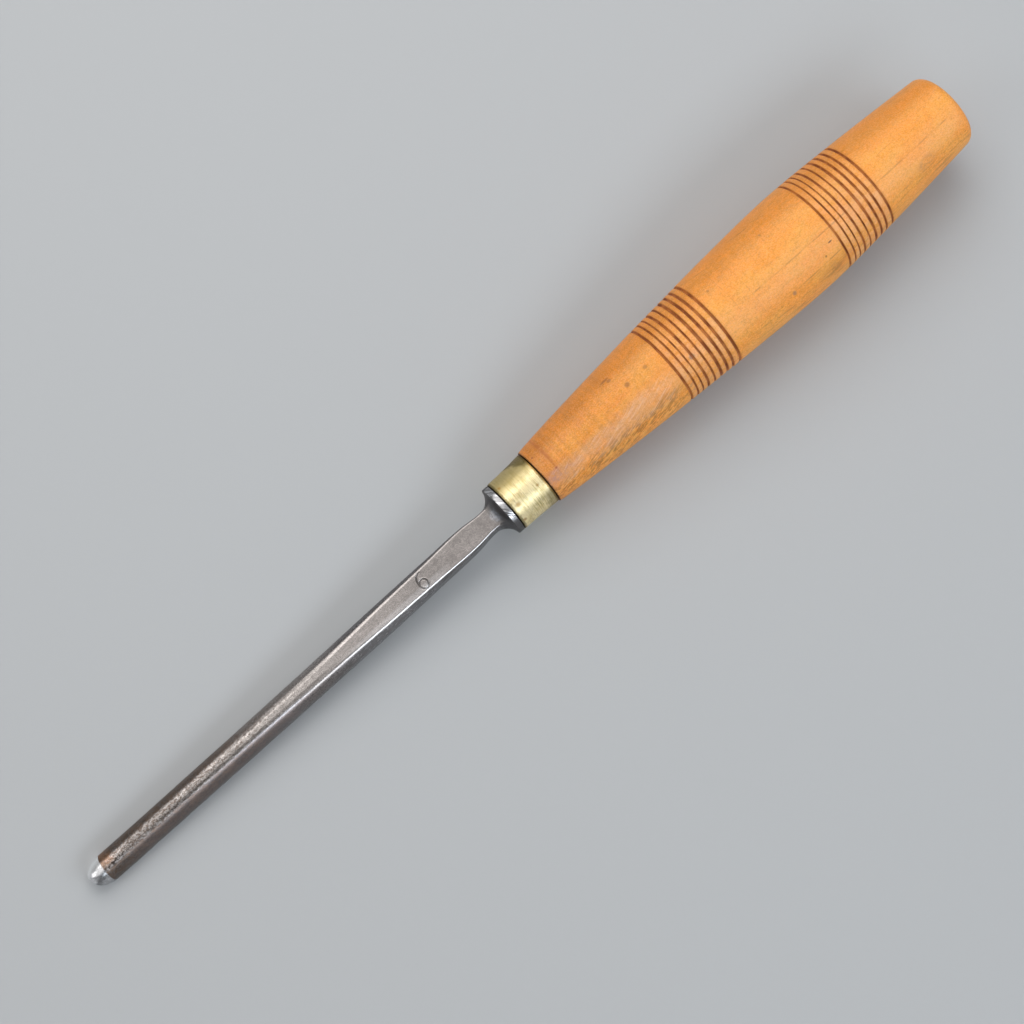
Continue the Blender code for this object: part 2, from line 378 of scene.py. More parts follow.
class Graph:
    """A node tree and the shader that it feeds."""

    def __init__(self, tree: bpy.types.NodeTree, shader: str) -> None:
        """Takes a tree and the name of its shader."""
        self.tree = tree
        self.shader = tree.nodes[shader]

    def node(
        self,
        kind: str,
        settings: dict[str, Any] | None = None,
        inputs: dict[str | int, Input] | None = None,
        output: str | int = 0,
    ) -> Socket:
        """Adds any node.

        Args:
            kind: The node's type.
            settings: Properties of the node, set before its sockets are used.
            inputs: Values or links for its sockets, by name or number.
            output: Which output is returned.

        Returns:
            One output of the node.
        """
        node = self.tree.nodes.new(kind)
        for key, value in (settings or {}).items():
            setattr(node, key, value)
        self.feed(node, inputs or {})
        return Socket(self, node.outputs[output])

    def feed(self, node: bpy.types.Node, inputs: dict[str | int, Input]) -> None:
        """Sets or links the sockets of a node.

        Args:
            node: The node.
            inputs: Values or links, by name or number of the socket.
        """
        for key, value in inputs.items():
            socket = node.inputs[key]
            if isinstance(value, Socket):
                self.tree.links.new(value.output, socket)
            elif isinstance(value, tuple) and len(value) == 3 and socket.type == "RGBA":
                socket.default_value = (*value, 1.0)
            else:
                socket.default_value = value

    def math(self, operation: str, *values: Input) -> Socket:
        """A Math node."""
        return self.node("ShaderNodeMath", {"operation": operation}, dict(enumerate(values)))

    def vector(self, operation: str, *values: Input, output: int = 0) -> Socket:
        """A Vector Math node."""
        return self.node("ShaderNodeVectorMath", {"operation": operation}, dict(enumerate(values)), output)

    def mix(self, share: Input, first: Input, second: Input) -> Socket:
        """A color between two, by a share. Inputs 6 and 7 and output 2 are the node's color sockets."""
        return self.node("ShaderNodeMix", {"data_type": "RGBA"}, {0: share, 6: first, 7: second}, 2)

    def shade(self, color: Input, factor: Input) -> Socket:
        """A color made darker or brighter by a factor."""
        return self.node("ShaderNodeVectorMath", {"operation": "SCALE"}, {0: color, "Scale": factor})

    def step(self, value: Input, low: float, high: float) -> Socket:
        """A soft step.

        Args:
            value: The value that is compared.
            low: Where the step is 0.
            high: Where it is 1, which may lie below low.

        Returns:
            The step, from 0 to 1.
        """
        if low > high:
            return 1.0 - self.step(value, high, low)
        inputs = {"Value": value, "From Min": low, "From Max": high}
        return self.node("ShaderNodeMapRange", {"interpolation_type": "SMOOTHSTEP"}, inputs)

    def band(self, value: Input, low: float, high: float, soft: float) -> Socket:
        """One between low and high, fading to 0 over a soft border outside."""
        return self.step(value, low - soft, low) * self.step(value, high + soft, high)

    def noise(self, point: Input, scale: float, detail: float = 2.0, rough: float = 0.5) -> Socket:
        """Noise from about 0 to 1 with features one over the scale in size."""
        inputs = {"Vector": point, "Scale": scale, "Detail": detail, "Roughness": rough}
        return self.node("ShaderNodeTexNoise", None, inputs, "Fac")

    def bump(self, height: Input, depth: float, after: Socket | None = None) -> Socket:
        """Normals of an uneven surface.

        Args:
            height: Its height as a share of the depth.
            depth: Its depth, in millimetres.
            after: Normals that it changes, if not the mesh's own.

        Returns:
            The normals.
        """
        inputs: dict[str | int, Input] = {"Height": height, "Distance": depth * MM, "Strength": 1.0}
        if after is not None:
            inputs["Normal"] = after
        return self.node("ShaderNodeBump", None, inputs)

    def mark(self, name: str) -> Socket:
        """A value kept with the mesh."""
        return self.node("ShaderNodeAttribute", {"attribute_name": name}, None, "Fac")


class Surface(Graph):
    """The node tree of one material."""

    def __init__(self, name: str) -> None:
        """Makes an empty material with a Principled shader.

        Args:
            name: Name of the material.
        """
        self.material = bpy.data.materials.new(name)
        self.material.use_nodes = True
        super().__init__(self.material.node_tree, "Principled BSDF")

    def finish(self, **inputs: Input) -> bpy.types.Material:
        """Sets the shader's sockets, named with underscores, and gives the material."""
        self.feed(self.shader, {key.replace("_", " ").title(): value for key, value in inputs.items()})
        return self.material


@dataclass(frozen=True)
class Blemish:
    """A spot on a surface.

    Attributes:
        along: Place along the tool.
        angle: Angle round it, in degrees.
        size: Half length along the tool and half width round it.
        strength: How much of its color shows.
        color: Its color.
    """

    along: float
    angle: float
    size: Pair
    strength: float = 0.7
    color: Color = (0.24, 0.085, 0.03)


@dataclass(frozen=True)
class Hairline:
    """A thin dark line or scratch on the handle.

    Attributes:
        start: Place along the tool and angle round it where the line begins.
        end: Where it ends.
        wide: Its width.
        strength: How much of its color shows.
    """

    start: Pair
    end: Pair
    wide: float = 0.16
    strength: float = 0.4


class ToolGraph(Surface):
    """A material in tool coordinates, in millimetres.

    Attributes:
        point: Along, across and up together.
        along: Place along the tool.
        across: Offset across it.
        up: Height above its axis.
        angle: Angle round the tool in degrees.
    """

    def __init__(self, name: str, axis: ToolAxis) -> None:
        """Turns Object coordinates into tool coordinates.

        Args:
            name: Name of the material.
            axis: Where the tool lies.
        """
        super().__init__(name)
        shift = -np.array([direction @ axis.origin for direction in (axis.along, ACROSS, axis.up)]) / MM
        inputs = {
            "Vector": self.node("ShaderNodeTexCoord", None, None, "Object"),
            "Location": tuple(shift),
            "Rotation": (0.0, axis.tilt, 0.0),
            "Scale": (1 / MM,) * 3,
        }
        self.point = self.node("ShaderNodeMapping", None, inputs)
        self.along, self.across, self.up = (
            self.node("ShaderNodeSeparateXYZ", None, {0: self.point}, i) for i in range(3)
        )
        self.angle = self.math("ARCTAN2", -self.across, self.up) * math.degrees(1)

    def stretched(self, along: float, across: float = 1.0, up: float = 1.0) -> Socket:
        """The point with its coordinates scaled, so that noise on it is stretched."""
        return self.vector("MULTIPLY", self.point, (along, across, up))

    def wrapped(self, radius: float, turn: float) -> Socket:
        """The surface rolled flat.

        Args:
            radius: Mean radius of the surface.
            turn: Angle by which the flat surface is turned, in degrees.

        Returns:
            Places along and round the surface.
        """
        flat = self.node("ShaderNodeCombineXYZ", None, {0: self.along, 1: self.angle * math.radians(radius)})
        inputs = {"Vector": flat, "Rotation": (0.0, 0.0, math.radians(turn))}
        return self.node("ShaderNodeMapping", None, inputs)

    def strokes(self, radius: float, turn: float, wide: float, long: float, seed: float) -> Socket:
        """Fine parallel scratches.

        Args:
            radius: Mean radius of the surface.
            turn: Direction of the scratches from the tool's axis, in degrees.
            wide: Distance between scratches.
            long: Length of a scratch.
            seed: Shifts the pattern.

        Returns:
            Noise from 0 to 1, stretched along the scratches.
        """
        flat = self.vector("ADD", self.wrapped(radius, -turn), (seed, seed * 1.7, seed * 0.3))
        return self.noise(self.vector("MULTIPLY", flat, (1 / long, 1 / wide, 1.0)), 1.0, 1.0)

    def side(self, low: float, high: float) -> Socket:
        """A soft step in the angle from 0 at low to 1 at high, which fades out again underneath."""
        return self.step(self.angle, low, high) * self.step(abs(self.angle), 165.0, 110.0)

    def spots(
        self, color: Socket, spots: tuple[Blemish, ...], radius: float, soft: float, cover: Input = 1.0
    ) -> Socket:
        """Adds spots to the color of a surface.

        Args:
            color: The color so far.
            spots: The spots.
            radius: Mean radius of the surface.
            soft: Share of a spot's size over which it fades.
            cover: Share of a spot that shows.

        Returns:
            The color with the spots.
        """
        for spot in spots:
            away = (self.along - spot.along) / spot.size[0]
            aside = (self.angle - spot.angle) * (math.radians(radius) / spot.size[1])
            distance = self.math("SQRT", away * away + aside * aside)
            spread = self.step(distance, 1.0 + soft, 1.0 - soft)
            color = self.mix(spread * cover * spot.strength, color, spot.color)
        return color

    def line(self, line: Hairline, radius: float) -> Socket:
        """A thin straight line on the surface rolled flat.

        Args:
            line: Its ends and width.
            radius: Mean radius of the surface.

        Returns:
            One in the line and zero outside.
        """
        scale = math.radians(radius)
        run, rise = line.end[0] - line.start[0], (line.end[1] - line.start[1]) * scale
        length = math.hypot(run, rise)
        away, aside = self.along - line.start[0], (self.angle - line.start[1]) * scale
        reach = away * (run / length) + aside * (rise / length)
        off = abs(aside * (run / length) - away * (rise / length)) / line.wide
        return self.step(off, 0.8, 0.2) * self.band(reach, 0.4, length - 0.4, 0.8)


class SteelGraph(ToolGraph):
    """The steel's material, with the noises and zones that several of its layers use.

    Attributes:
        mottle: Broad patches.
        speck: Small spots.
        grain: The smallest spots.
        hatch: Scratches in two directions.
        fleck: The lighter part of the grain.
        pitted: The lighter part of patches and spots.
        edgeward: Zone towards the cutting edge.
        shank: Zone towards the bolster.
        low: The flanks below the back.
        cove: The cove and rim of the bolster.
        rim: The top of the rim.
        filed: File marks on the rim.
        patina: Where the steel is dull.
        polished: The ground bevel.
        stamped: The stamped figure.
    """

    def __init__(self, finish: SteelFinish, axis: ToolAxis) -> None:
        """Makes the noises and zones.

        Args:
            finish: The finish, which names the material and places the zones.
            axis: Where the tool lies.
        """
        super().__init__(finish.name, axis)
        self.mottle = self.noise(self.stretched(0.45), 0.8, 4.0, 0.62)
        self.speck = self.noise(self.stretched(0.7), 2.0, 3.0, 0.65)
        self.grain = self.noise(self.stretched(0.75), 4.6, 2.0, 0.7)
        self.hatch = self.strokes(3.0, 68.0, 0.30, 1.6, 3.0) + self.strokes(3.0, -58.0, 0.34, 1.3, 8.0)
        self.fleck = self.step(self.grain, 0.36, 0.64)
        self.pitted = self.step(self.mottle * 0.45 + self.speck * 0.55, 0.40, 0.60)
        self.edgeward = self.step(self.along, *finish.edge_zone)
        self.shank = self.step(self.along, *finish.shank_zone)
        self.low = self.step(self.up, *finish.flank_heights)
        self.cove = self.band(self.along + self.speck * 1.2, *finish.cove_zone, 1.0)
        top = self.band(self.angle + self.speck * 14.0, *finish.rim_angles, 8.0)
        self.rim = self.band(self.along, *finish.rim_zone, 0.12) * top
        self.filed = self.step(self.strokes(6.1, 52.0, 0.34, 5.0, 1.0), 0.40, 0.60)
        spread = self.mottle * 0.6 + self.speck * 0.4 + self.edgeward * 0.26 + self.low * 0.10
        self.patina = self.step(spread, 0.46, 0.78)
        self.polished = self.step(self.mark("bevel") + (self.speck - 0.5) * 1.3, 0.34, 0.46)
        self.stamped = self.mark("stamp")


@dataclass(frozen=True)
class SteelFinish:
    """Old forged tool steel: brown towards the edge, cleaner on the shank, bright where it was ground.

    Zones are places along the tool between which a layer lies or fades in.
    """

    name: str = "worn_tool_steel"
    clean: Color = (0.620, 0.572, 0.542)
    dull: Color = (0.330, 0.302, 0.288)
    flat: Color = (0.345, 0.316, 0.304)
    brown: Color = (0.120, 0.078, 0.055)
    rust: Color = (0.40, 0.205, 0.105)
    # Colour of the polished bevel, also laid on as painted highlights.
    bright: Color = (0.90, 0.90, 0.92)
    # Bluish colour of a painted reflection on the low side of the back.
    cool_reflection: Color = (0.38, 0.385, 0.44)
    # Colour of the painted gleam in the cove.
    gleam: Color = (0.60, 0.65, 0.74)
    # Dark colour of the flanks' painted shade.
    shaded: Color = (0.086, 0.085, 0.094)
    scale: Color = (0.115, 0.112, 0.114)
    dark: Color = (0.030, 0.026, 0.025)
    edge_zone: Pair = (84.0, 12.0)
    shank_zone: Pair = (40.0, 78.0)
    neck_zone: Pair = (107.0, 113.0)
    crest_zone: Pair = (46.0, 60.0)
    streak_zone: Pair = (22.0, 62.0)
    cool_reflection_zone: Pair = (16.0, 52.0)
    painted_light_zone: Pair = (76.0, 94.0)
    shank_darkening_zone: Pair = (80.0, 96.0)
    flank_heights: Pair = (2.46, 2.2)
    painted_light_flank_zone: Pair = (16.0, 34.0)
    dark_flank_zone: Pair = (16.0, 6.0)
    upper_flank_zone: Pair = (46.0, 64.0)
    corner_heights: Pair = (2.46, 2.565)
    corner_zone: Pair = (70.0, 100.0)
    corner_end: Pair = (114.0, 111.0)
    rust_zone: Pair = (6.2, 7.4)
    bare_zone: Pair = (5.4, 8.6)
    spotted_zone: Pair = (4.4, 8.6)
    cove_zone: Pair = (115.0, 117.8)
    gleam_zone: Pair = (114.5, 115.2)
    rim_zone: Pair = (115.85, 117.1)
    rim_angles: Pair = (-48.0, 44.0)

    def worn(self, g: SteelGraph) -> Socket:
        """The dull and brown steel with its flecks and scratches.

        Args:
            g: The material.

        Returns:
            The color.
        """
        color = g.mix(g.patina, self.clean, self.dull)
        browned = g.step(g.speck + g.edgeward * 0.10, 0.52, 0.70)
        color = g.mix(browned * (0.25 + g.edgeward * 0.45), color, self.brown)
        color = g.mix(g.shank * 0.9, color, self.flat)
        color = g.shade(color, (0.87 - g.edgeward * 0.36) + g.fleck * (0.26 + g.edgeward * 0.72))
        color = g.shade(color, 0.84 + g.hatch * 0.16)
        brushed = g.noise(g.stretched(1.0, 0.05, 0.05), 0.9, 3.0, 0.6)
        return g.shade(color, 0.84 + brushed * 0.32 - g.step(g.along, *self.neck_zone) * 0.14)

    def streaks(self, g: SteelGraph, color: Socket) -> Socket:
        """Long light and dark streaks painted on the back as painted shade and painted reflections, and
        stains on the shank.

        Args:
            g: The material.
            color: The color so far.

        Returns:
            The color with the streaks.
        """
        # Painted shade: the crest of the back on the +Y side is darkened to dim the key lamp's highlight on
        # it.
        crest = g.band(g.along, *self.crest_zone, 12.0) * g.band(g.across, 1.12, 1.30, 0.40)
        color = g.shade(color, 1.0 - crest * 0.52)
        # Painted shade: a dark streak along the middle of the back stands in for a dark reflection.
        slanted = g.across + g.along * 0.0112 + (g.speck - 0.5) * 0.3
        streak = g.band(g.along, *self.streak_zone, 9.0) * g.band(slanted, -0.03, 0.20, 0.36)
        color = g.shade(color, 1.0 - streak * 0.48)
        # Painted reflection: a bluish tint on the low side of the back, in place of the blue strip lamp's
        # reflection.
        cool_reflection = g.band(g.along, *self.cool_reflection_zone, 12.0) * g.step(g.across, -0.6, -1.2)
        color = g.mix(cool_reflection * 0.40, color, self.cool_reflection)
        # Painted light: a pale band on the low side of the back towards the shank.
        glow = g.band(g.along, *self.painted_light_zone, 8.0) * g.step(g.across, -0.4, -1.1)
        color = g.mix(glow * 0.20, color, self.bright)
        # Patchy stains on the shank, and the shank darker towards the bolster.
        stained = g.mottle * 0.55 + g.speck * 0.45 - 0.5
        return g.shade(color, 1.0 + g.shank * stained * 0.85 - g.step(g.along, *self.shank_darkening_zone) * 0.18)

    def flanks(self, g: SteelGraph, color: Socket) -> Socket:
        """The dark flanks, part brown patina and part painted shade, with painted light on them and a painted
        highlight along the corner between the low one and the back.

        Args:
            g: The material.
            color: The color so far.

        Returns:
            The color with the flanks.
        """
        # Flank colour: brown patina, darkened further as painted shade.
        flank = g.shade(g.mix(g.shank, self.brown, self.shaded), 0.55 + g.pitted * 0.90)
        # Painted light: the low flank is lighter towards the corner. The flanks are also darker near the
        # edge.
        worn = g.step(g.across, -1.0, -2.0) * g.step(g.along, *self.painted_light_flank_zone) * g.step(g.up, 1.0, 2.2)
        flank = g.shade(flank, 1.0 + worn * 0.60 - g.step(g.along, *self.dark_flank_zone) * 0.22)
        # Painted light: the upper flank is left less dark in the middle of the blade.
        upper = g.band(g.along, *self.upper_flank_zone, 10.0) * g.step(g.across, 1.4, 1.8)
        color = g.mix(g.low * (0.60 + g.edgeward * 0.10 - upper * 0.30), color, flank)
        # Painted highlight: a bright line along the low corner of the back, in place of a lamp's reflection.
        corner = g.band(g.up + g.speck * 0.05, *self.corner_heights, 0.03) * g.step(g.across, -1.2, -2.0)
        corner = corner * g.step(g.along, *self.corner_zone) * g.step(g.along, *self.corner_end)
        return g.mix(corner * 0.60, color, self.bright)

    def nose(self, g: SteelGraph, color: Socket) -> Socket:
        """Rust, a bare patch and dark spots behind the bevel.

        Args:
            g: The material.
            color: The color so far.

        Returns:
            The color with them.
        """
        rusty = g.band(g.along + g.mottle * 4.0, *self.rust_zone, 2.2) * g.step(g.across, -0.6, 0.9)
        color = g.mix(rusty * (0.20 + g.fleck * 0.45), color, self.rust)
        bare = g.band(g.along, *self.bare_zone, 1.2) * g.band(g.across, 0.6, 1.4, 0.35)
        color = g.shade(color, 1.0 + bare * 0.5)
        spotted = g.band(g.along, *self.spotted_zone, 1.0) * g.band(g.across, -0.6, 0.1, 0.3)
        return g.mix(spotted * g.step(g.speck, 0.44, 0.56) * 0.75, color, self.dark)

    def bolster(self, g: SteelGraph, color: Socket) -> Socket:
        """Dark scale in the cove, a painted gleam on it, and the filed rim, painted lighter over its top.

        Args:
            g: The material.
            color: The color so far.

        Returns:
            The color with them.
        """
        color = g.mix(g.cove * 0.85, color, self.scale)
        # Painted reflection: a soft bluish gleam where the cove begins.
        gleam = g.band(g.along + g.mottle * 1.6, *self.gleam_zone, 0.9) * g.band(g.across, -1.1, 0.6, 1.1)
        color = g.mix(gleam * (0.10 + g.pitted * 0.24), color, self.gleam)
        # Filed marks on the rim, laid on only over its top as painted light.
        return g.mix(g.rim * (0.14 + g.filed * 0.42), color, self.bright)

    def worked(self, g: SteelGraph, color: Socket) -> Socket:
        """The ground bevel, with painted highlight and painted shade across it, and the stamped figure.

        Args:
            g: The material.
            color: The color so far.

        Returns:
            The color with them.
        """
        # Painted highlight and painted shade on the bevel: lighter towards +Y, darker on a slanting band
        # towards -Y.
        lit = g.across + (3.4 - g.along) * 0.22
        bevel_painted_light = g.step(g.across, 0.8, 1.8) * 0.35 - g.step(lit, 0.5, -0.6) * 0.40
        bevel_painted_light = bevel_painted_light - g.band(lit, -1.1, -0.4, 0.3) * 0.20
        color = g.mix(g.polished, color, g.shade(self.bright, 0.80 + g.fleck * 0.24 + bevel_painted_light))
        return g.mix(g.stamped * 0.6, color, self.dark)

    def material(self, axis: ToolAxis) -> bpy.types.Material:
        """Makes the material.

        Args:
            axis: Where the tool lies.

        Returns:
            The material.
        """
        g = SteelGraph(self, axis)
        color = self.worn(g)
        for layer in (self.streaks, self.flanks, self.nose, self.bolster, self.worked):
            color = layer(g, color)
        roughness = 0.18 + g.edgeward * 0.07 + g.patina * 0.07 + g.grain * 0.08 - g.polished * 0.10
        roughness = roughness + g.stamped * 0.2 + g.cove * (1.0 - g.rim) * 0.2
        relief = g.bump(g.mottle, 0.006)
        relief = g.bump(g.grain, 0.003, relief)
        relief = g.bump(g.hatch, 0.0015, relief)
        relief = g.bump(g.filed * g.rim, 0.02, relief)
        return g.finish(base_color=color, metallic=1.0, roughness=roughness, normal=relief)


@dataclass(frozen=True)
class BrassFinish:
    """Turned brass with lathe lines, tarnish at its ends, a few brown spots, and painted light and shade in
    bands round it.
    """

    name: str = "tarnished_brass"
    clean: Color = (0.86, 0.735, 0.445)
    tarnish: Color = (0.55, 0.43, 0.175)
    stain: Color = (0.13, 0.095, 0.03)
    grime: Color = (0.035, 0.025, 0.012)
    rust: Color = BRASS_RUST
    radius: float = 6.35
    front: float = FERRULE_FRONT
    back: float = FERRULE_BACK
    spots: tuple[Blemish, ...] = (
        Blemish(119.0, 22.0, (0.5, 0.5), color=BRASS_RUST),
        Blemish(118.2, 58.0, (0.4, 0.4), color=BRASS_RUST),
        Blemish(124.8, 18.0, (0.3, 0.3), color=BRASS_RUST),
        Blemish(118.4, -30.0, (0.35, 0.35), color=BRASS_RUST),
    )

    def material(self, axis: ToolAxis) -> bpy.types.Material:
        """Makes the material.

        Args:
            axis: Where the tool lies.

        Returns:
            The material.
        """
        g = ToolGraph(self.name, axis)
        lines = g.noise(g.stretched(1.0, 0.03, 0.03), 4.5, 3.0, 0.75)
        cloud = g.noise(g.point, 0.5, 3.0, 0.6)
        freckle = g.noise(g.point, 2.4, 2.0, 0.5)
        color = g.mix(g.step(lines, 0.46, 0.68) * 0.75, self.clean, self.tarnish)
        scored = g.step(g.noise(g.stretched(1.0, 0.05, 0.05), 7.0, 1.0, 0.6), 0.56, 0.70)
        color = g.mix(scored * g.step(cloud, 0.36, 0.56) * 0.5, color, self.stain)
        color = g.mix(g.step(cloud, 0.46, 0.74) * 0.65, color, self.tarnish)
        # Tarnish laid on the +Y side only, partly as painted shade that dims the highlight there.
        color = g.mix(g.side(0.0, -28.0) * 0.75, color, self.tarnish)
        # Painted highlight: lighter bands over the top and on the side towards -Y, and a painted shade band
        # on the +Y side.
        lightening = g.band(g.angle, 0.0, 14.0, 8.0) * 0.18 + g.side(44.0, 60.0) * 0.20
        color = g.shade(color, 1.0 + lightening - g.band(g.angle, -26.0, -14.0, 8.0) * 0.22)
        back = g.step(g.along, self.back - 0.9, self.back)
        ends = g.step(g.along, self.front + 1.0, self.front) + back
        color = g.mix(g.step(ends + freckle * 0.9, 0.66, 1.2) * 0.7, color, self.stain)
        color = g.mix(g.step(back + freckle, 0.76, 1.0) * 0.5, color, self.rust)
        corner = g.step(g.along - (g.angle + 47.0) * 0.08 + cloud * 1.6, self.back - 2.4, self.back - 1.2)
        color = g.mix(corner * g.side(-14.0, -34.0) * (0.45 + freckle * 0.5), color, self.stain)
        rear_low = g.step(g.along + cloud * 2.0, self.back - 2.4, self.back - 0.2) * g.side(32.0, 50.0)
        color = g.mix(rear_low * 0.5, color, self.stain)
        color = g.mix(g.step(freckle, 0.66, 0.76) * 0.6, color, self.stain)
        seam = g.step(g.along + freckle * 0.7, self.back + 0.16, self.back + 0.36)
        seam = seam + g.step(g.along - freckle * 0.7, self.front - 0.16, self.front - 0.36)
        color = g.mix(seam * 0.8, color, self.grime)
        color = g.spots(color, self.spots, self.radius, 0.7)
        roughness = 0.32 + lines * 0.16 + cloud * 0.08
        relief = g.bump(lines, 0.012)
        relief = g.bump(cloud, 0.02, relief)
        return g.finish(base_color=color, metallic=1.0, roughness=roughness, normal=relief)


class BoxwoodGraph(ToolGraph):
    """The wood's material, with the noises and zones that several of its layers use.

    Attributes:
        cloud: Very broad patches.
        mottle: Broad patches.
        grain: Small spots.
        fibre: Spots drawn out along the tool.
        turned: Rings left by the lathe.
        pore: The smallest spots.
        front: Zone towards the ferrule.
        body: The whole side, without the butt.
        low_side: The side towards -Y.
        dirty: The soiled part of that side.
        burn: The scorched grooves.
    """

    def __init__(self, finish: BoxwoodFinish, axis: ToolAxis) -> None:
        """Makes the noises and zones.

        Args:
            finish: The finish, which names the material and places the zones.
            axis: Where the tool lies.
        """
        super().__init__(finish.name, axis)
        self.cloud = self.noise(self.stretched(0.5), 0.20, 3.0, 0.6)
        self.mottle = self.noise(self.stretched(0.55), 0.8, 3.0, 0.6)
        self.grain = self.noise(self.stretched(0.7), 2.6, 3.0, 0.75)
        self.fibre = self.noise(self.stretched(0.06), 2.4, 3.0, 0.6)
        self.turned = self.noise(self.stretched(1.0, 0.04, 0.04), 1.5, 3.0, 0.7)
        self.pore = self.noise(self.stretched(0.8), 4.2, 2.0, 0.7)
        self.front = self.step(self.along, *finish.front_zone)
        self.body = self.step(self.along, OVERALL_LENGTH - 0.2, OVERALL_LENGTH - 2.0)
        self.low_side = self.side(34.0, 56.0) * self.body
        under = self.step(self.angle, 64.0, 100.0)
        self.dirty = self.low_side * self.step(self.along, *finish.dirty_zone) * (1.0 - under * 0.65)
        self.burn = self.mark("burn")


@dataclass(frozen=True)
class BoxwoodFinish:
    """Oiled boxwood, dirty and scratched on the low side, with scorched grooves, and painted shade, light and
    sheen by side.

    Zones are places along the tool between which a layer lies or fades in.
    """

    name: str = "oiled_boxwood"
    golden: Color = (0.935, 0.378, 0.046)
    orange: Color = (0.875, 0.308, 0.024)
    red: Color = (0.560, 0.170, 0.032)
    straw: Color = (0.920, 0.500, 0.125)
    # Amber tint of the wood near the ferrule, also laid on the +Y side as painted shade.
    amber: Color = (0.800, 0.255, 0.006)
    umber: Color = (0.520, 0.165, 0.040)
    dirt: Color = (0.300, 0.130, 0.030)
    crack: Color = (0.250, 0.078, 0.028)
    # Colour of the painted pinkish sheen on the low side.
    pink_sheen: Color = (0.470, 0.270, 0.190)
    # Pale colour of the painted sheen band and of the scratches.
    lightening: Color = (0.960, 0.640, 0.430)
    dust: Color = (0.850, 0.740, 0.640)
    scorch: Color = (0.250, 0.066, 0.019)
    scorch_worn: Color = (0.460, 0.155, 0.042)
    grime: Color = (0.060, 0.028, 0.012)
    radius: float = 10.5
    front: float = HANDLE_SHOULDER
    ring: float = 130.4
    sheen: float = 0.29
    front_zone: Pair = (176.0, 132.0)
    rear_zone: Pair = (218.0, 228.0)
    collar_zone: Pair = (134.0, 127.0)
    dirty_zone: Pair = (178.0, 154.0)
    low_rear_zone: Pair = (176.0, 190.0)
    patch_zone: Pair = (131.0, 158.0)
    lands: tuple[Pair, ...] = ((163.2, 176.0), (208.3, 221.0))
    blemishes: tuple[Blemish, ...] = (
        Blemish(150.2, -31.0, (1.0, 0.35), 0.6),
        Blemish(150.9, -26.0, (0.5, 0.5), 0.55),
        Blemish(153.0, -3.0, (0.60, 0.60), 0.6),
        Blemish(158.3, -4.0, (0.50, 0.45), 0.45),
        Blemish(130.2, 17.0, (0.25, 0.3), 0.7, (0.3, 0.06, 0.03)),
        Blemish(127.9, -26.0, (0.25, 0.3), 0.6, (0.3, 0.06, 0.03)),
        Blemish(138.8, 96.0, (0.35, 0.35), 0.95, (0.02, 0.015, 0.012)),
        Blemish(167.2, 26.0, (0.65, 0.6), 0.75, (0.30, 0.19, 0.14)),
        Blemish(193.1, 51.0, (0.45, 0.5), 0.6, (0.30, 0.15, 0.12)),
        Blemish(205.7, 32.0, (0.5, 0.14), 0.9, (0.09, 0.04, 0.02)),
        Blemish(179.2, -19.0, (0.3, 0.3), 0.45),
        Blemish(195.6, -25.0, (0.25, 0.25), 0.45),
        Blemish(203.2, 42.0, (0.22, 0.22), 0.7),
    )
    stains: tuple[Blemish, ...] = (
        Blemish(129.6, 30.0, (2.8, 2.2), 0.75, (0.42, 0.21, 0.17)),
        Blemish(131.0, -30.0, (1.2, 3.6), 0.50, (0.40, 0.13, 0.03)),
        Blemish(150.0, -40.0, (3.0, 1.6), 0.40, (0.42, 0.14, 0.03)),
        Blemish(143.0, 58.0, (6.0, 1.6), 0.45, (0.33, 0.16, 0.035)),
        Blemish(157.0, 50.0, (5.0, 1.5), 0.45, (0.33, 0.16, 0.035)),
        Blemish(204.0, 64.0, (3.4, 1.7), 0.55, (0.27, 0.11, 0.03)),
        Blemish(233.8, 46.0, (2.6, 1.2), 0.60, (0.36, 0.17, 0.10)),
        Blemish(238.7, 74.0, (1.4, 0.9), 0.40, (0.36, 0.16, 0.07)),
        Blemish(192.0, -52.0, (6.0, 1.4), 0.25, (0.42, 0.16, 0.03)),
    )
    hairlines: tuple[Hairline, ...] = (
        Hairline((186.0, 18.0), (206.5, 19.5), 0.26, 0.42),
        Hairline((206.5, 19.5), (243.0, 21.0), 0.34, 0.32),
        Hairline((187.0, 50.0), (207.0, 48.0), 0.30, 0.44),
        Hairline((221.0, 50.0), (236.0, 54.0), 0.30, 0.30),
        Hairline((222.0, -4.0), (240.0, -3.0), 0.16, 0.22),
        Hairline((180.0, -50.0), (184.0, -42.0), 0.20, 0.45),
        Hairline((184.6, -52.0), (187.0, -43.0), 0.26, 0.60),
        Hairline((181.0, -40.0), (185.0, -33.0), 0.16, 0.35),
        Hairline((190.0, -53.0), (193.4, -49.0), 0.34, 0.55),
        Hairline((191.4, -49.0), (195.4, -47.0), 0.24, 0.45),
        Hairline((196.6, -50.0), (198.6, -44.0), 0.28, 0.60),
        Hairline((199.5, -51.0), (203.5, -48.0), 0.26, 0.45),
        Hairline((181.5, -42.0), (181.6, 44.0), 0.22, 0.20),
        Hairline((185.8, -34.0), (185.7, 50.0), 0.20, 0.18),
        Hairline((140.5, -38.0), (140.6, 20.0), 0.25, 0.16),
    )

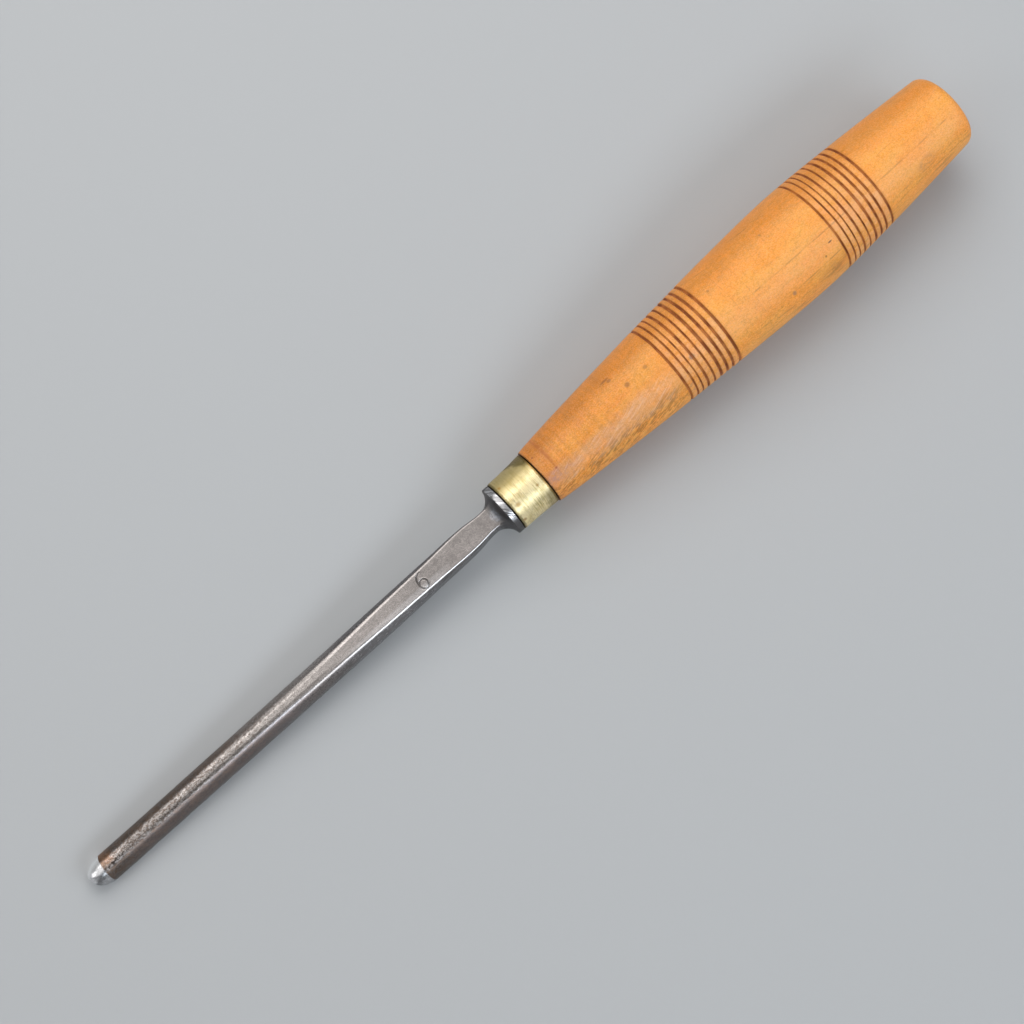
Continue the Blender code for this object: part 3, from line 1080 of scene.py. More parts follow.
    def wood(self, g: BoxwoodGraph) -> Socket:
        """The plain oiled wood.

        Args:
            g: The material.

        Returns:
            The color.
        """
        rear = g.step(g.along, *self.rear_zone)
        color = g.mix(g.step(g.cloud, 0.36, 0.64), self.golden, self.orange)
        color = g.mix(g.step(g.mottle, 0.46, 0.66) * (0.15 + g.front * 0.40), color, self.red)
        color = g.mix(g.step(g.grain, 0.54, 0.70) * (0.12 + g.low_side * 0.2), color, self.straw)
        color = g.mix(g.step(g.fibre, 0.56, 0.74) * 0.22, color, self.red)
        collar = g.step(g.along, *self.collar_zone)
        color = g.mix(collar * (0.22 + g.mottle * 0.6), color, self.red)
        # Painted shade: the side towards +Y is made darker and more amber. Towards the ferrule the amber is
        # the wood's own.
        painted_shade_side = g.side(-4.0, -36.0) * g.body
        color = g.mix(painted_shade_side * 0.62 + g.front * 0.22, color, self.amber)
        tone = 1.00 - g.front * 0.12 - painted_shade_side * 0.13 + (g.cloud - 0.5) * 0.34
        tone = tone + (g.mottle - 0.5) * (0.50 - rear * 0.22)
        tone = tone + (g.grain - 0.5) * (0.40 + g.low_side * 0.16)
        tone = tone + (g.turned - 0.5) * (0.12 + g.front * 0.36) + (g.pore - 0.5) * 0.25
        # Painted light: the side towards -Y is made lighter.
        color = g.shade(color, tone + g.side(22.0, 44.0) * g.body * (0.03 + g.front * 0.06))
        dark = g.step(g.grain * 0.6 + g.pore * 0.4, 0.52, 0.34)
        color = g.mix(dark * (0.20 + g.front * 0.10 + g.low_side * 0.10), color, self.umber)
        return g.mix(g.step(g.pore, 0.36, 0.70) * 0.13, color, self.dust)

    def wear(self, g: BoxwoodGraph, color: Socket) -> Socket:
        """A painted sheen band on the side towards -Y, a dark ring near the ferrule and the year rings of the
        butt.

        Args:
            g: The material.
            color: The color so far.

        Returns:
            The color with them.
        """
        # Painted sheen: a pale band along the side towards -Y.
        sheen_band = g.band(g.angle, 16.0, 38.0, 18.0) * (1.0 - g.front)
        sheen_band = sheen_band + g.band(g.angle, 32.0, 40.0, 10.0) * g.front
        color = g.mix(g.body * sheen_band * (0.03 + g.mottle * 0.10), color, self.lightening)
        ring = g.band(g.along + (g.mottle - 0.5) * 0.5, self.ring - 0.1, self.ring + 0.1, 0.55)
        ring = ring * g.step(g.angle, 34.0, -6.0) * g.step(g.mottle, 0.30, 0.52)
        color = g.mix(ring * 0.85, color, self.umber)
        pith = g.vector("LENGTH", g.vector("ADD", g.stretched(0.0), (0.0, 3.5, -2.0)), output=1)
        years = g.noise(g.node("ShaderNodeCombineXYZ", None, {0: pith + g.mottle * 0.5}), 1.3, 3.0, 0.7)
        return g.mix((1.0 - g.body) * g.step(years, 0.44, 0.62) * 0.5, color, self.red)

    def soil(self, g: BoxwoodGraph, color: Socket) -> Socket:
        """Stains, smeared dirt on the low side, and a scratched patch with a painted pinkish sheen.

        Args:
            g: The material.
            color: The color so far.

        Returns:
            The color with them.
        """
        patchy = g.step(g.mottle * 0.5 + g.grain * 0.5, 0.42, 0.58)
        color = g.spots(color, self.stains, self.radius, 0.9, patchy)
        smear = g.strokes(self.radius, -32.0, 0.55, 1.6, 5.0)
        smudge = g.step(smear * 0.6 + g.mottle * 0.4, 0.48, 0.58)
        color = g.mix(g.dirty * smudge * 0.50, color, self.dirt)
        color = g.mix(g.dirty * g.step(smear, 0.48, 0.36) * 0.45, color, self.straw)
        low_rear = g.side(44.0, 70.0) * g.body * g.step(g.along, *self.low_rear_zone)
        ground_in = g.step(g.strokes(self.radius, 2.0, 0.5, 5.0, 9.0), 0.52, 0.66)
        color = g.mix(low_rear * ground_in * 0.35, color, self.dirt)
        # Painted sheen: a pinkish patch on the low side near the ferrule. The scratches on it are the wood's
        # own.
        patch = g.band(g.along, *self.patch_zone, 5.0) * g.band(g.angle, 24.0, 50.0, 12.0)
        color = g.mix(patch * g.step(g.cloud, 0.62, 0.44) * 0.22, color, self.pink_sheen)
        scratch = g.step(g.strokes(self.radius, -27.0, 0.30, 5.0, 11.0), 0.52, 0.72)
        scratch = scratch + g.step(g.strokes(self.radius, -20.0, 0.60, 7.0, 15.0), 0.50, 0.72) * 0.6
        return g.mix(patch * scratch * (0.10 + g.step(g.mottle, 0.40, 0.60) * 0.24), color, self.lightening)

    def marks(self, g: BoxwoodGraph, color: Socket) -> Socket:
        """Hairlines, spots, grime at the ferrule, dust on the lands and the scorched grooves.

        Args:
            g: The material.
            color: The color so far.

        Returns:
            The color with them.
        """
        streaky = g.noise(g.stretched(0.25), 0.9, 2.0, 0.6)
        broken = g.step(g.grain + g.mottle, 0.80, 1.02) * (0.25 + g.step(streaky, 0.42, 0.60) * 0.75)
        for line in self.hairlines:
            color = g.mix(g.line(line, self.radius) * broken * line.strength, color, self.crack)
        color = g.spots(color, self.blemishes, self.radius, 0.5)
        seam = g.step(g.along - g.grain * 0.9, self.front - 0.20, self.front - 0.42)
        color = g.mix(seam * 0.8, color, self.grime)
        lands = sum(g.band(g.along, *land, 0.6) for land in self.lands)
        dusty = g.step(g.mottle, 0.36, 0.60) * g.step(g.angle, -34.0, 8.0)
        color = g.mix(lands * dusty * 0.10, color, self.dust)
        worn = g.step(g.noise(g.stretched(0.4), 0.45, 3.0, 0.6), 0.42, 0.64)
        return g.mix(g.burn, color, g.mix(worn * 0.8, self.scorch, self.scorch_worn))

    def material(self, axis: ToolAxis) -> bpy.types.Material:
        """Makes the material.

        Args:
            axis: Where the tool lies.

        Returns:
            The material.
        """
        g = BoxwoodGraph(self, axis)
        color = self.wood(g)
        for layer in (self.wear, self.soil, self.marks):
            color = layer(g, color)
        roughness = 0.38 + g.fibre * 0.10 + g.dirty * 0.10 + g.burn * 0.25
        relief = g.bump(g.fibre, 0.012)
        relief = g.bump(g.grain, 0.012, relief)
        relief = g.bump(g.mottle, 0.03, relief)
        g.feed(g.shader, {"Specular IOR Level": self.sheen})
        return g.finish(base_color=color, roughness=roughness, normal=relief)


@dataclass
class Blade:
    """The forging: cutting edge, channel, shank, round bolster and hidden tang."""

    shank_end: float = 111.6
    bolster_front: float = 115.8
    bolster_back: float = 117.2
    bolster_radius: float = 6.1
    rim_edge: float = 0.15
    lip: float = 2.4
    lip_edge: float = 0.25
    wall: float = 1.05
    keel_thickness: float = 1.15
    channel_end: float = 90.0
    wheel_radius: float = 150.0
    run_out: float = 0.5
    nose_slope: float = 0.45
    nose_rounding: float = 3.2
    heel: float = 4.1
    heel_slope: float = 0.35
    heel_skew: float = 0.13
    tang_length: float = 48.0
    tang_root: float = 5.0
    tang_point: float = 2.0
    tang_edge: float = 0.6
    cove_steps: int = 25
    cove_sweep: float = 0.985
    flat_delay: float = 0.38
    flat_zone: Pair = (0.45, 0.85)
    nose_steps: int = 19
    nose_crowding: float = 1.3
    stations: tuple[float, ...] = (0.0, 30.0, 66.0, 82.0, 96.0, 107.5, 111.6)
    widths: tuple[float, ...] = (6.16, 6.20, 6.43, 6.50, 6.24, 5.80, 4.96)
    corners: tuple[float, ...] = (2.95, 2.90, 2.45, 1.65, 1.10, 0.55, 0.45)
    turning: tuple[float, ...] = (0.85, 0.90, 0.85, 0.72, 0.70, 0.80, 1.0)
    low_corners: tuple[float, ...] = (2.95, 2.85, 2.25, 1.60, 1.00, 0.52, 0.42)
    low_turning: tuple[float, ...] = (0.75, 0.72, 0.62, 0.50, 0.50, 0.60, 0.9)
    bend: float = 0.6
    bend_end: float = 100.0
    uneven: float = 0.016
    rough: float = 0.006
    sunk: float = 0.02
    back_steps: int = 54
    wall_steps: int = 16
    edge_steps: int = 4
    number_place: float = 93.2
    number_height: float = 3.7
    number_width: float = 2.1
    number_stroke: float = 0.34
    number_depth: float = 0.13
    number_margin: float = 0.45
    number_burr: float = 0.12
    body_step: float = 0.9
    number_step: float = 0.06
    neck_step: float = 0.8
    finish: SteelFinish = field(default_factory=SteelFinish)

    @property
    def channel_depth(self) -> float:
        """Full depth of the channel."""
        return BACK_HEIGHT + self.lip - self.keel_thickness

    def outer(
        self, places: Array, corners: tuple[float, ...], turning: tuple[float, ...]
    ) -> tuple[Array, Array, Array, Array]:
        """Half of the outer outline at each place, from the middle of the back to the lip.

        The back is a flat and a corner. The corner turns down by a quarter in all, as a power of the share
        of its length, so that a power below one makes an edge at the flat and a slanting flank after it.
        The wall runs straight down from it, and a small arc eases the outer edge of the lip.

        Args:
            places: Places along the tool.
            corners: Widths of the corner at the stations.
            turning: Powers of the turn at the stations.

        Returns:
            Offsets across and heights, and the two parts of the outward normals, one row for each place.
        """
        knots = np.array(self.stations)
        half = smooth_curve(places, knots, np.array(self.widths) / 2)[:, None]
        corner = smooth_curve(places, knots, np.array(corners))[:, None]
        power = smooth_curve(places, knots, np.array(turning))[:, None]
        share = (np.arange(200) + 0.5) / 200
        curve = corner / np.cos(math.pi / 2 * share**power).mean(axis=1, keepdims=True)
        flat, length = half - corner, half - corner + curve

        def turned(share: Array) -> Array:
            """Angle of the outline at shares of its length, from level to straight down."""
            return math.pi / 2 * np.clip((share * length - flat) / curve, 0, 1) ** power

        step = np.arange(self.back_steps + 1) / self.back_steps
        turn, between = turned(step), turned((step[1:] + step[:-1]) / 2)
        reach = np.cumsum(np.hstack([0 * half, np.cos(between)]), 1)
        drop = np.cumsum(np.hstack([0 * half, np.sin(between)]), 1) * length / self.back_steps
        back = reach * half / reach[:, -1:], BACK_HEIGHT - drop
        share = np.arange(1, self.wall_steps + 1) / self.wall_steps
        top, bottom = back[1][:, -1:], self.lip_edge - self.lip
        wall = half + 0 * share, top + (bottom - top) * share
        ease = np.arange(1, self.edge_steps + 1) / self.edge_steps * math.pi / 2
        edge = half - self.lip_edge * (1 - np.cos(ease)), bottom - self.lip_edge * np.sin(ease) + 0 * half
        normal = np.hstack([turn, 0 * wall[0] + math.pi / 2, 0 * half + math.pi / 2 + ease])
        across, up = (np.hstack(parts) for parts in zip(back, wall, edge))
        return across, up, np.sin(normal), np.cos(normal)

    def under(self, places: Array) -> tuple[Array, Array]:
        """Half of the underside at each place, from its middle to the lip.

        The channel is an arc below straight walls. Its depth runs out on the radius of a grinding wheel,
        and a flat follows that widens along the shank.

        Args:
            places: Places along the tool.

        Returns:
            Offsets across and heights, one row for each place.
        """
        half = smooth_curve(places, np.array(self.stations), np.array(self.widths) / 2)[:, None]
        depth, wheel = self.channel_depth, self.wheel_radius
        start = self.channel_end - math.sqrt(wheel**2 - (wheel - depth) ** 2)
        into = np.clip(places - start, 0, self.channel_end - start)[:, None]
        depth = depth - wheel + np.sqrt(wheel**2 - into**2)
        round_part = half - self.wall
        straight = np.maximum(depth - round_part, 0)
        sweep = np.arccos(np.clip((round_part - depth) / round_part, 0, 1))
        length = straight + round_part * sweep
        steps = self.back_steps + self.wall_steps + self.edge_steps
        upper = np.maximum(straight, length * (steps - self.back_steps) / steps)
        count = np.arange(steps + 1)
        along = np.where(
            count <= self.back_steps,
            count / self.back_steps * (length - upper),
            length - upper + (count - self.back_steps) / (steps - self.back_steps) * upper,
        )
        turn = np.minimum(along / round_part, sweep)
        across = round_part * np.sin(turn)
        up = depth - self.lip - round_part * (1 - np.cos(turn)) - np.maximum(along - round_part * sweep, 0)
        shank = np.clip((places - self.channel_end) / (self.shank_end - self.channel_end), 0, 1)[:, None]
        flat = self.run_out + (half - self.lip_edge - 2 * self.run_out) * shank
        shallow = round_part * np.sin(sweep) < self.run_out
        return np.where(shallow, flat * count / steps, across), np.where(shallow, -self.lip + 0 * up, up)

    def number(self, along: Array, across: Array) -> Array:
        """Depth of the stamped number, a plain six whose foot faces -Y.

        The strokes are all points closer to a curve than half a stroke: an oval bowl and a stem that bends
        over its top.

        Args:
            along: Places along the tool.
            across: Offsets across it.

        Returns:
            A share of the full depth, which is slightly negative in the burr beside a stroke.
        """
        turn = np.linspace(0, 2 * math.pi, 90)
        bowl_across, bowl_along = self.number_height * 0.29, self.number_width * 0.46
        foot = -self.number_height * 0.5 + bowl_across
        bowl = np.stack([bowl_along * np.cos(turn), foot + bowl_across * np.sin(turn)], -1)
        bends = [(-0.46, foot / self.number_width), (-0.46, 0.5), (-0.15, 0.82), (0.38, 0.88)]
        stem = bezier(np.array(bends), 50) * self.number_width
        path = np.vstack([bowl, stem]).T
        away = np.hypot((along - self.number_place)[..., None] - path[0], across[..., None] - path[1])
        edge = away.min(axis=-1) - self.number_stroke / 2
        burr = np.exp(-(((edge - 0.12) / 0.07) ** 2))
        return smoothstep(-edge, -0.05, 0.10) - self.number_burr * burr

    def flank(self, places: Array, side: int) -> tuple[Array, Array, Array]:
        """One outer side, moved along its normals by the forging's unevenness and the stamped number.

        Args:
            places: Places along the tool.
            side: 1 for the side that faces +Y and -1 for the other.

        Returns:
            Offsets across, heights and the depth of the stamp as a share, one row for each place.
        """
        shape = (self.corners, self.turning) if side > 0 else (self.low_corners, self.low_turning)
        across, up, toward_side, toward_top = self.outer(places, *shape)
        surface = np.cumsum(np.hypot(np.diff(across, prepend=0), np.diff(up, prepend=BACK_HEIGHT)), 1)
        place = places[:, None]
        uneven = self.uneven * ripple(place / 5.0, side * surface / 2.2 + 90, Seed.FORGING) - self.sunk
        uneven += self.rough * ripple(place / 1.1, side * surface / 0.8 + 90, Seed.FORGING_FINE)
        stamp = self.number(place + 0 * across, side * across) * (toward_top > 0.999)
        shift = uneven * smoothstep(place, 6, 12) - self.number_depth * stamp
        return side * (across + toward_side * shift), up + toward_top * shift, stamp

    def grid(self) -> tuple[Array, Array, Array, dict[str, Array]]:
        """All rings of the blade, from the cutting edge to the point of the tang.

        Each ring runs round the outer side and back along the underside. At the edge both are one line; over
        the bevel the outer side grows from it on a rounded slope; from the shank to the bolster every point
        moves outward on a quarter of an ellipse, later on the flats than on the sides.

        Returns:
            Places along, offsets across and heights of the points, and marks for the material.
        """
        first = self.heel * (1 + self.heel_slope)
        number = self.number_place + np.array([-1, 1]) * (self.number_width / 2 + self.number_margin)
        body = np.concatenate(
            [
                np.arange(first, number[0], self.body_step),
                np.arange(number[0], number[1], self.number_step),
                np.arange(number[1], self.shank_end, self.neck_step),
                [self.shank_end],
            ]
        )
        places = np.concatenate([[self.heel], body])
        channel_across, channel_up = self.under(places)
        right = channel_across, channel_up, 0 * channel_up
        left = -channel_across, channel_up, 0 * channel_up
        ring_across, ring_up, stamp = (
            np.hstack([low[:, ::-1], high[:, 1:], near[:, ::-1], far[:, 1:]])
            for low, high, near, far in zip(self.flank(places, -1), self.flank(places, 1), right, left)
        )
        nose = self.nose(ring_across[0], ring_up[0])
        cove = self.bolster(ring_across[-1], ring_up[-1])
        ring_along = np.broadcast_to(body[:, None], ring_across[1:].shape)
        along, across, up = (
            np.vstack(parts) for parts in zip(nose[:3], (ring_along, ring_across[1:], ring_up[1:]), cove)
        )
        bevel = np.zeros(along.shape)
        bevel[: len(nose[0])] = nose[3]
        stamped = np.zeros(along.shape)
        stamped[len(nose[0]) : len(nose[0]) + len(body)] = np.maximum(stamp[1:], 0)
        return along, across, up, {"bevel": bevel, "stamp": stamped}

    def nose(self, across: Array, up: Array) -> tuple[Array, Array, Array, Array]:
        """Rings of the ground nose.

        Args:
            across: Offsets across of the ring at the heel.
            up: Its heights.

        Returns:
            Places along, offsets across, heights and the mark of the bevel.
        """
        count = len(across) // 2
        edge_across = np.concatenate([across[count:][::-1], across[count:]])
        edge_up = np.concatenate([up[count:][::-1], up[count:]])
        share = np.linspace(0, 1, self.nose_steps + 1)[:, None] ** self.nose_crowding
        grown = 1 - (1 - share) ** self.nose_rounding
        setback = self.nose_slope * (self.channel_depth - self.lip - edge_up)
        along = setback + share * (self.heel + (self.heel_slope - 1) * setback + self.heel_skew * across)
        outer = np.arange(2 * count) < count
        mark = np.where(outer, smoothstep(share, 1.0, 0.82), 0.0) * np.ones_like(along)
        return along, edge_across + (across - edge_across) * grown, edge_up + (up - edge_up) * grown, mark

    def bolster(self, across: Array, up: Array) -> tuple[Array, Array, Array]:
        """Rings of the cove, the bolster's rim and back, and the tang.

        Args:
            across: Offsets across of the last ring of the shank.
            up: Its heights.

        Returns:
            Places along, offsets across and heights.
        """
        reach = np.hypot(across, up)
        side, top = across / reach, up / reach
        delay = self.flat_delay * (self.bolster_front - self.shank_end)
        begin = self.shank_end + delay * smoothstep(np.abs(top), *self.flat_zone)
        places = np.linspace(self.shank_end, self.bolster_front, self.cove_steps + 1)[1:, None]
        share = np.clip((places - begin) / (self.bolster_front - begin), 0, 1)
        swell = (1 - np.sqrt(1 - (share * self.cove_sweep) ** 2)) / (1 - math.sqrt(1 - self.cove_sweep**2))
        rim = self.bolster_radius - self.rim_edge
        radii = [reach + (rim - reach) * swell]
        along = [np.broadcast_to(places, swell.shape)]
        front = quarter((self.bolster_front + self.rim_edge, rim), self.rim_edge, 180, 90, 4)[1:]
        back = quarter((self.bolster_back - self.rim_edge, rim), self.rim_edge, 90, 0, 4)
        square = np.maximum(np.abs(side), np.abs(top))
        tang = [
            (self.bolster_back, self.tang_root / 2 / square),
            (self.bolster_back + self.tang_length - self.tang_edge, self.tang_point / 2 / square),
            (self.bolster_back + self.tang_length, self.tang_point / 4 / square),
        ]
        for place, radius in [*front, *back, *tang]:
            along.append(np.full((1, len(side)), place))
            radii.append(np.broadcast_to(radius, (1, len(side))))
        radius = np.vstack(radii)
        return np.vstack(along), radius * side, radius * top

    def build(self, axis: ToolAxis) -> bpy.types.Object:
        """Builds the blade, bent aside towards its edge on a parabola, as use has left it.

        Args:
            axis: Where the tool lies.

        Returns:
            The object.
        """
        along, across, up, marks = self.grid()
        across = across + self.bend * np.clip(1 - along / self.bend_end, 0, None) ** 2
        return tube("gouge_blade", axis.place(along, across, up), End.FOLD, End.CAP, marks)

    def dress(self, obj: bpy.types.Object, axis: ToolAxis) -> None:
        """Gives the blade its finish and its place in the frame."""
        dress(obj, self.finish.material(axis), "blade", Slot.TOOL_STEEL)


@dataclass
class Ferrule:
    """A short brass tube that opens slightly towards the handle."""

    front: float = FERRULE_FRONT
    back: float = FERRULE_BACK
    front_radius: float = 6.2
    middle_radius: float = 6.33
    back_radius: float = 6.52
    bore_radius: float = 5.3
    edge: float = 0.25
    dent: float = 0.012
    around: int = 192
    finish: BrassFinish = field(default_factory=BrassFinish)

    def build(self, axis: ToolAxis) -> bpy.types.Object:
        """Builds the ferrule by turning its closed outline, with dents of a few hundredths of a millimetre.

        Args:
            axis: Where the tool lies.

        Returns:
            The object.
        """
        middle = self.front + 0.65 * (self.back - self.front)
        places = np.linspace(self.front + self.edge, self.back - self.edge, 46)[1:-1]
        radii = smooth_curve(
            places,
            np.array([self.front, middle, self.back]),
            np.array([self.front_radius, self.middle_radius, self.back_radius]),
        )
        outline = np.vstack(
            [
                quarter((self.front + self.edge, self.front_radius - self.edge), self.edge, 180, 90, 6),
                np.stack([places, radii], -1),
                quarter((self.back - self.edge, self.back_radius - self.edge), self.edge, 90, 0, 6),
                [(self.back, self.bore_radius), (self.front, self.bore_radius)],
            ]
        )
        angles = np.linspace(0, 2 * math.pi, self.around, endpoint=False)
        along = outline[:, :1] + 0 * angles
        round_share = angles / (2 * math.pi)
        dents = ripple(along / 2.5, round_share * 12, Seed.DENT, 12)
        dents = dents + 0.5 * ripple(along / 0.9, round_share * 40, Seed.DENT_FINE, 40)
        radius = outline[:, 1:] + (dents - 1.5) * self.dent * (outline[:, 1:] > self.bore_radius + 0.1)
        points = axis.place(along, -radius * np.sin(angles), radius * np.cos(angles))
        return tube("brass_ferrule", points, End.LOOP, End.LOOP)

    def dress(self, obj: bpy.types.Object, axis: ToolAxis) -> None:
        """Gives the ferrule its finish and its place in the frame."""
        dress(obj, self.finish.material(axis), "ferrule", Slot.BRASS)


@dataclass
class Handle:
    """The turned handle, with a spigot under the ferrule, two bands of grooves and a hole for the tang."""

    spigot_front: float = 117.5
    spigot_radius: float = 5.0
    shoulder: float = HANDLE_SHOULDER
    front_radius: float = 6.8
    front_edge: float = 0.12
    belly: float = 203.0
    belly_radius: float = 11.8
    butt_radius: float = 9.2
    butt_rounding: float = 2.5
    butt_core: float = 3.0
    swell: tuple[Pair, ...] = ((135.4, 8.1), (186.0, 11.8))
    taper: tuple[Pair, ...] = ((206.0, 11.8), (212.5, 11.83))
    bands: tuple[float, ...] = (162.7, 207.8)
    steps: tuple[float, ...] = (1.72, 1.39, 1.50, 1.75, 1.79, 1.72, 1.60, 1.90)
    cuts: tuple[float, ...] = (0.72, 0.56, 0.46, 0.72, 0.58, 0.86, 0.78, 0.76, 0.8)
    wear: tuple[float, ...] = (1.0, 0.88)
    cut_depth: float = 0.55
    cut_hollow: float = 0.35
    cut_change: float = 0.22
    halo_width: float = 0.62
    halo_strength: float = 0.35
    scribed_ring: float = 130.25
    scribed_width: float = 0.09
    scribed_depth: float = 0.05
    waver: float = 0.05
    waver_zone: Pair = (128.0, 134.0)
    worn_depth: float = 0.02
    sunk: float = 0.03
    hole_mouth: float = 2.8
    hole_end: float = 1.3
    hole_depth: float = 48.3
    ring_step: float = 0.9
    ring_gap: float = 0.3
    around: int = 160
    finish: BoxwoodFinish = field(default_factory=BoxwoodFinish)

    def side(self, places: Array) -> Array:
        """Radii of the plain side, on two Bezier curves that meet at the belly.

        Args:
            places: Places along the tool.

        Returns:
            The radii.
        """
        knots = (
            (self.shoulder, self.front_radius),
            (self.belly, self.belly_radius),
            (OVERALL_LENGTH - self.butt_rounding, self.butt_radius),
        )
        curves = [
            bezier(np.array([start, *handles, end]), 64)
            for start, handles, end in zip(knots, (self.swell, self.taper), knots[1:])
        ]
        curve = np.vstack(curves)
        return np.interp(places, curve[:, 0], curve[:, 1])

    def grooves(self) -> Array:
        """Place and width of every groove, one row each."""
        places = np.concatenate([start + np.cumsum((0.0, *self.steps)) for start in self.bands])
        return np.stack([places, np.outer(self.wear, self.cuts).ravel()], -1)

    def stations(self) -> Array:
        """Places of the rings along the side, close together at every groove and at the scribed ring.

        Returns:
            The places in order.
        """
        shape = np.array([0.06, 0.2, 0.38, 0.56, 0.74, 0.9, 1.0, 1.12, 1.4])
        shape = np.concatenate([-shape[::-1], shape])
        cuts = self.grooves()
        fine = (cuts[:, :1] + shape * cuts[:, 1:] / 2).ravel()
        ring = self.scribed_ring + np.array([-0.3, -0.15, -0.08, 0.0, 0.08, 0.15, 0.3])
        last = OVERALL_LENGTH - self.butt_rounding
        plain = np.arange(self.shoulder + 2 * self.ring_gap, last - self.ring_gap, self.ring_step)
        special = np.concatenate([fine, ring])
        apart = np.abs(plain[:, None] - special).min(axis=1) > self.ring_gap
        return np.unique(np.concatenate([plain[apart], special]))

    def grid(self) -> tuple[Array, Array, Array, dict[str, Array]]:
        """All rings of the handle, from the bottom of the tang's hole to the middle of the butt.

        The hole is square, the spigot and shoulder are plain, and the side carries V grooves whose depth and
        place waver round the handle, one thin scribed ring and shallow wear.

        Returns:
            Places along, radii and angles of the points, and marks for the material.
        """
        angles = np.linspace(0, 2 * math.pi, self.around, endpoint=False)
        round_share = angles / (2 * math.pi)
        turn = round_share * 16
        square = 1 / np.maximum(np.abs(np.cos(angles)), np.abs(np.sin(angles)))
        places = self.stations()[:, None]
        off = self.waver * ripple(places / 2.5, turn, Seed.GROOVE_PLACE, 16)
        wavering = places + off * smoothstep(places, *self.waver_zone)
        radius = self.side(wavering)
        burn = np.zeros(radius.shape)
        for number, (place, width) in enumerate(self.grooves()):
            deep = 1 + self.cut_change * ripple(np.full(1, number * 3.0 + 1.5), turn, Seed.GROOVE_DEPTH, 16)
            inside = np.clip(1 - np.abs(places - place) / (width / 2), 0, 1)
            radius -= width * self.cut_depth * deep * inside * (1 + self.cut_hollow * (1 - inside))
            halo = np.exp(-(((places - place) / (width * self.halo_width)) ** 4))
            change = ripple(np.full(1, number * 3.0 + 0.7), turn * 2, Seed.SCORCH, 32)
            strong = np.clip(0.90 + self.cut_change * change, 0, 1)
            scorched = np.maximum(smoothstep(inside, 0.02, 0.30), self.halo_strength * halo)
            burn = np.maximum(burn, scorched * strong)
        broken = np.clip(0.6 + 0.6 * ripple(np.full(1, 8.5), turn, Seed.SCRIBED_RING, 16), 0, 1)
        scribed = np.exp(-(((places - self.scribed_ring) / self.scribed_width) ** 2)) * broken
        radius -= self.scribed_depth * scribed
        burn = np.maximum(burn, 0.25 * scribed)
        radius -= self.worn_depth * (1 + ripple(places / 9.0, round_share * 10, Seed.WEAR, 10))
        edge = self.front_edge
        rows = [
            (self.spigot_front + self.hole_depth, self.hole_end * square),
            (self.spigot_front, self.hole_mouth * square),
            (self.spigot_front, self.spigot_radius),
            (self.shoulder, self.spigot_radius),
            *quarter((self.shoulder + edge, self.front_radius - self.sunk - edge), edge, 180, 90, 4),
        ]
        last = OVERALL_LENGTH - self.butt_rounding
        rounding = self.butt_rounding
        butt = quarter((last, self.butt_radius - rounding - self.sunk), rounding, 90, 0, 14)
        first_along, first_radius = self.rows(rows, angles)
        last_along, last_radius = self.rows([*butt, (OVERALL_LENGTH, self.butt_core)], angles)
        along = np.vstack([first_along, wavering, last_along])
        radius = np.vstack([first_radius, radius, last_radius])
        mark = np.vstack([0 * first_along, burn, 0 * last_along])
        return along, radius, angles, {"burn": mark}

    @staticmethod
    def rows(rings: list[tuple[float, Array | float]], angles: Array) -> tuple[Array, Array]:
        """Grids of places and radii for rings that are given one by one."""
        along = np.stack([np.full(angles.shape, place) for place, _ in rings])
        return along, np.stack([np.broadcast_to(radius, angles.shape) for _, radius in rings])

    def build(self, axis: ToolAxis) -> bpy.types.Object:
        """Builds the handle.

        Args:
            axis: Where the tool lies.

        Returns:
            The object.
        """
        along, radius, angles, marks = self.grid()
        points = axis.place(along, -radius * np.sin(angles), radius * np.cos(angles))
        return tube("boxwood_handle", points, End.CAP, End.CAP, marks)

    def dress(self, obj: bpy.types.Object, axis: ToolAxis) -> None:
        """Gives the handle its finish and its place in the frame."""
        dress(obj, self.finish.material(axis), "handle", Slot.BOXWOOD)


def dress(obj: bpy.types.Object, material: bpy.types.Material, node: str, slot: Slot) -> None:
    """Gives a piece its material and ties it to the frame.

    Args:
        obj: The piece.
        material: Its finish.
        node: The CAD node that it stands for.
        slot: The record's material slot.
    """
    obj.data.materials.append(material)
    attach(obj, BODY)
    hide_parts(node)
    log.info("%s stands for %s in %s", obj.name, node, slot.value)


@dataclass(frozen=True)
class Lamp:
    """A long soft light that faces the tool.

    Attributes:
        name: Its name.
        lean: Angle from straight up, in degrees.
        side: Direction in which it leans, in degrees clockwise from the top of the view.
        size: Length and width, in metres.
        power: Power in watts.
        color: Color of its light.
        distance: Distance from the tool, in metres.
        shift: How far it is moved along its length, in metres.
    """

    name: str
    lean: float
    side: float
    size: Pair
    power: float
    color: Color
    distance: float
    shift: float = 0.0

    def build(self, azimuth: float) -> None:
        """Adds the light to the scene.

        Args:
            azimuth: Direction of the camera's view, in radians.
        """
        light = bpy.data.lights.new(self.name, "AREA")
        light.shape = "RECTANGLE"
        light.size, light.size_y = self.size
        light.energy = self.power
        light.color = self.color
        lean, turn = math.radians(self.lean), azimuth - math.radians(self.side)
        right = Vector((math.cos(turn), math.sin(turn), 0.0))
        outward = Vector((-math.sin(turn), math.cos(turn), 0.0))
        away = outward * math.sin(lean) + Vector((0.0, 0.0, math.cos(lean)))
        obj = add(self.name, light)
        obj.location = away * self.distance + right * self.shift
        obj.visible_camera = False
        obj.rotation_mode = "QUATERNION"
        obj.rotation_quaternion = Matrix((right, away.cross(right), away)).transposed().to_quaternion()


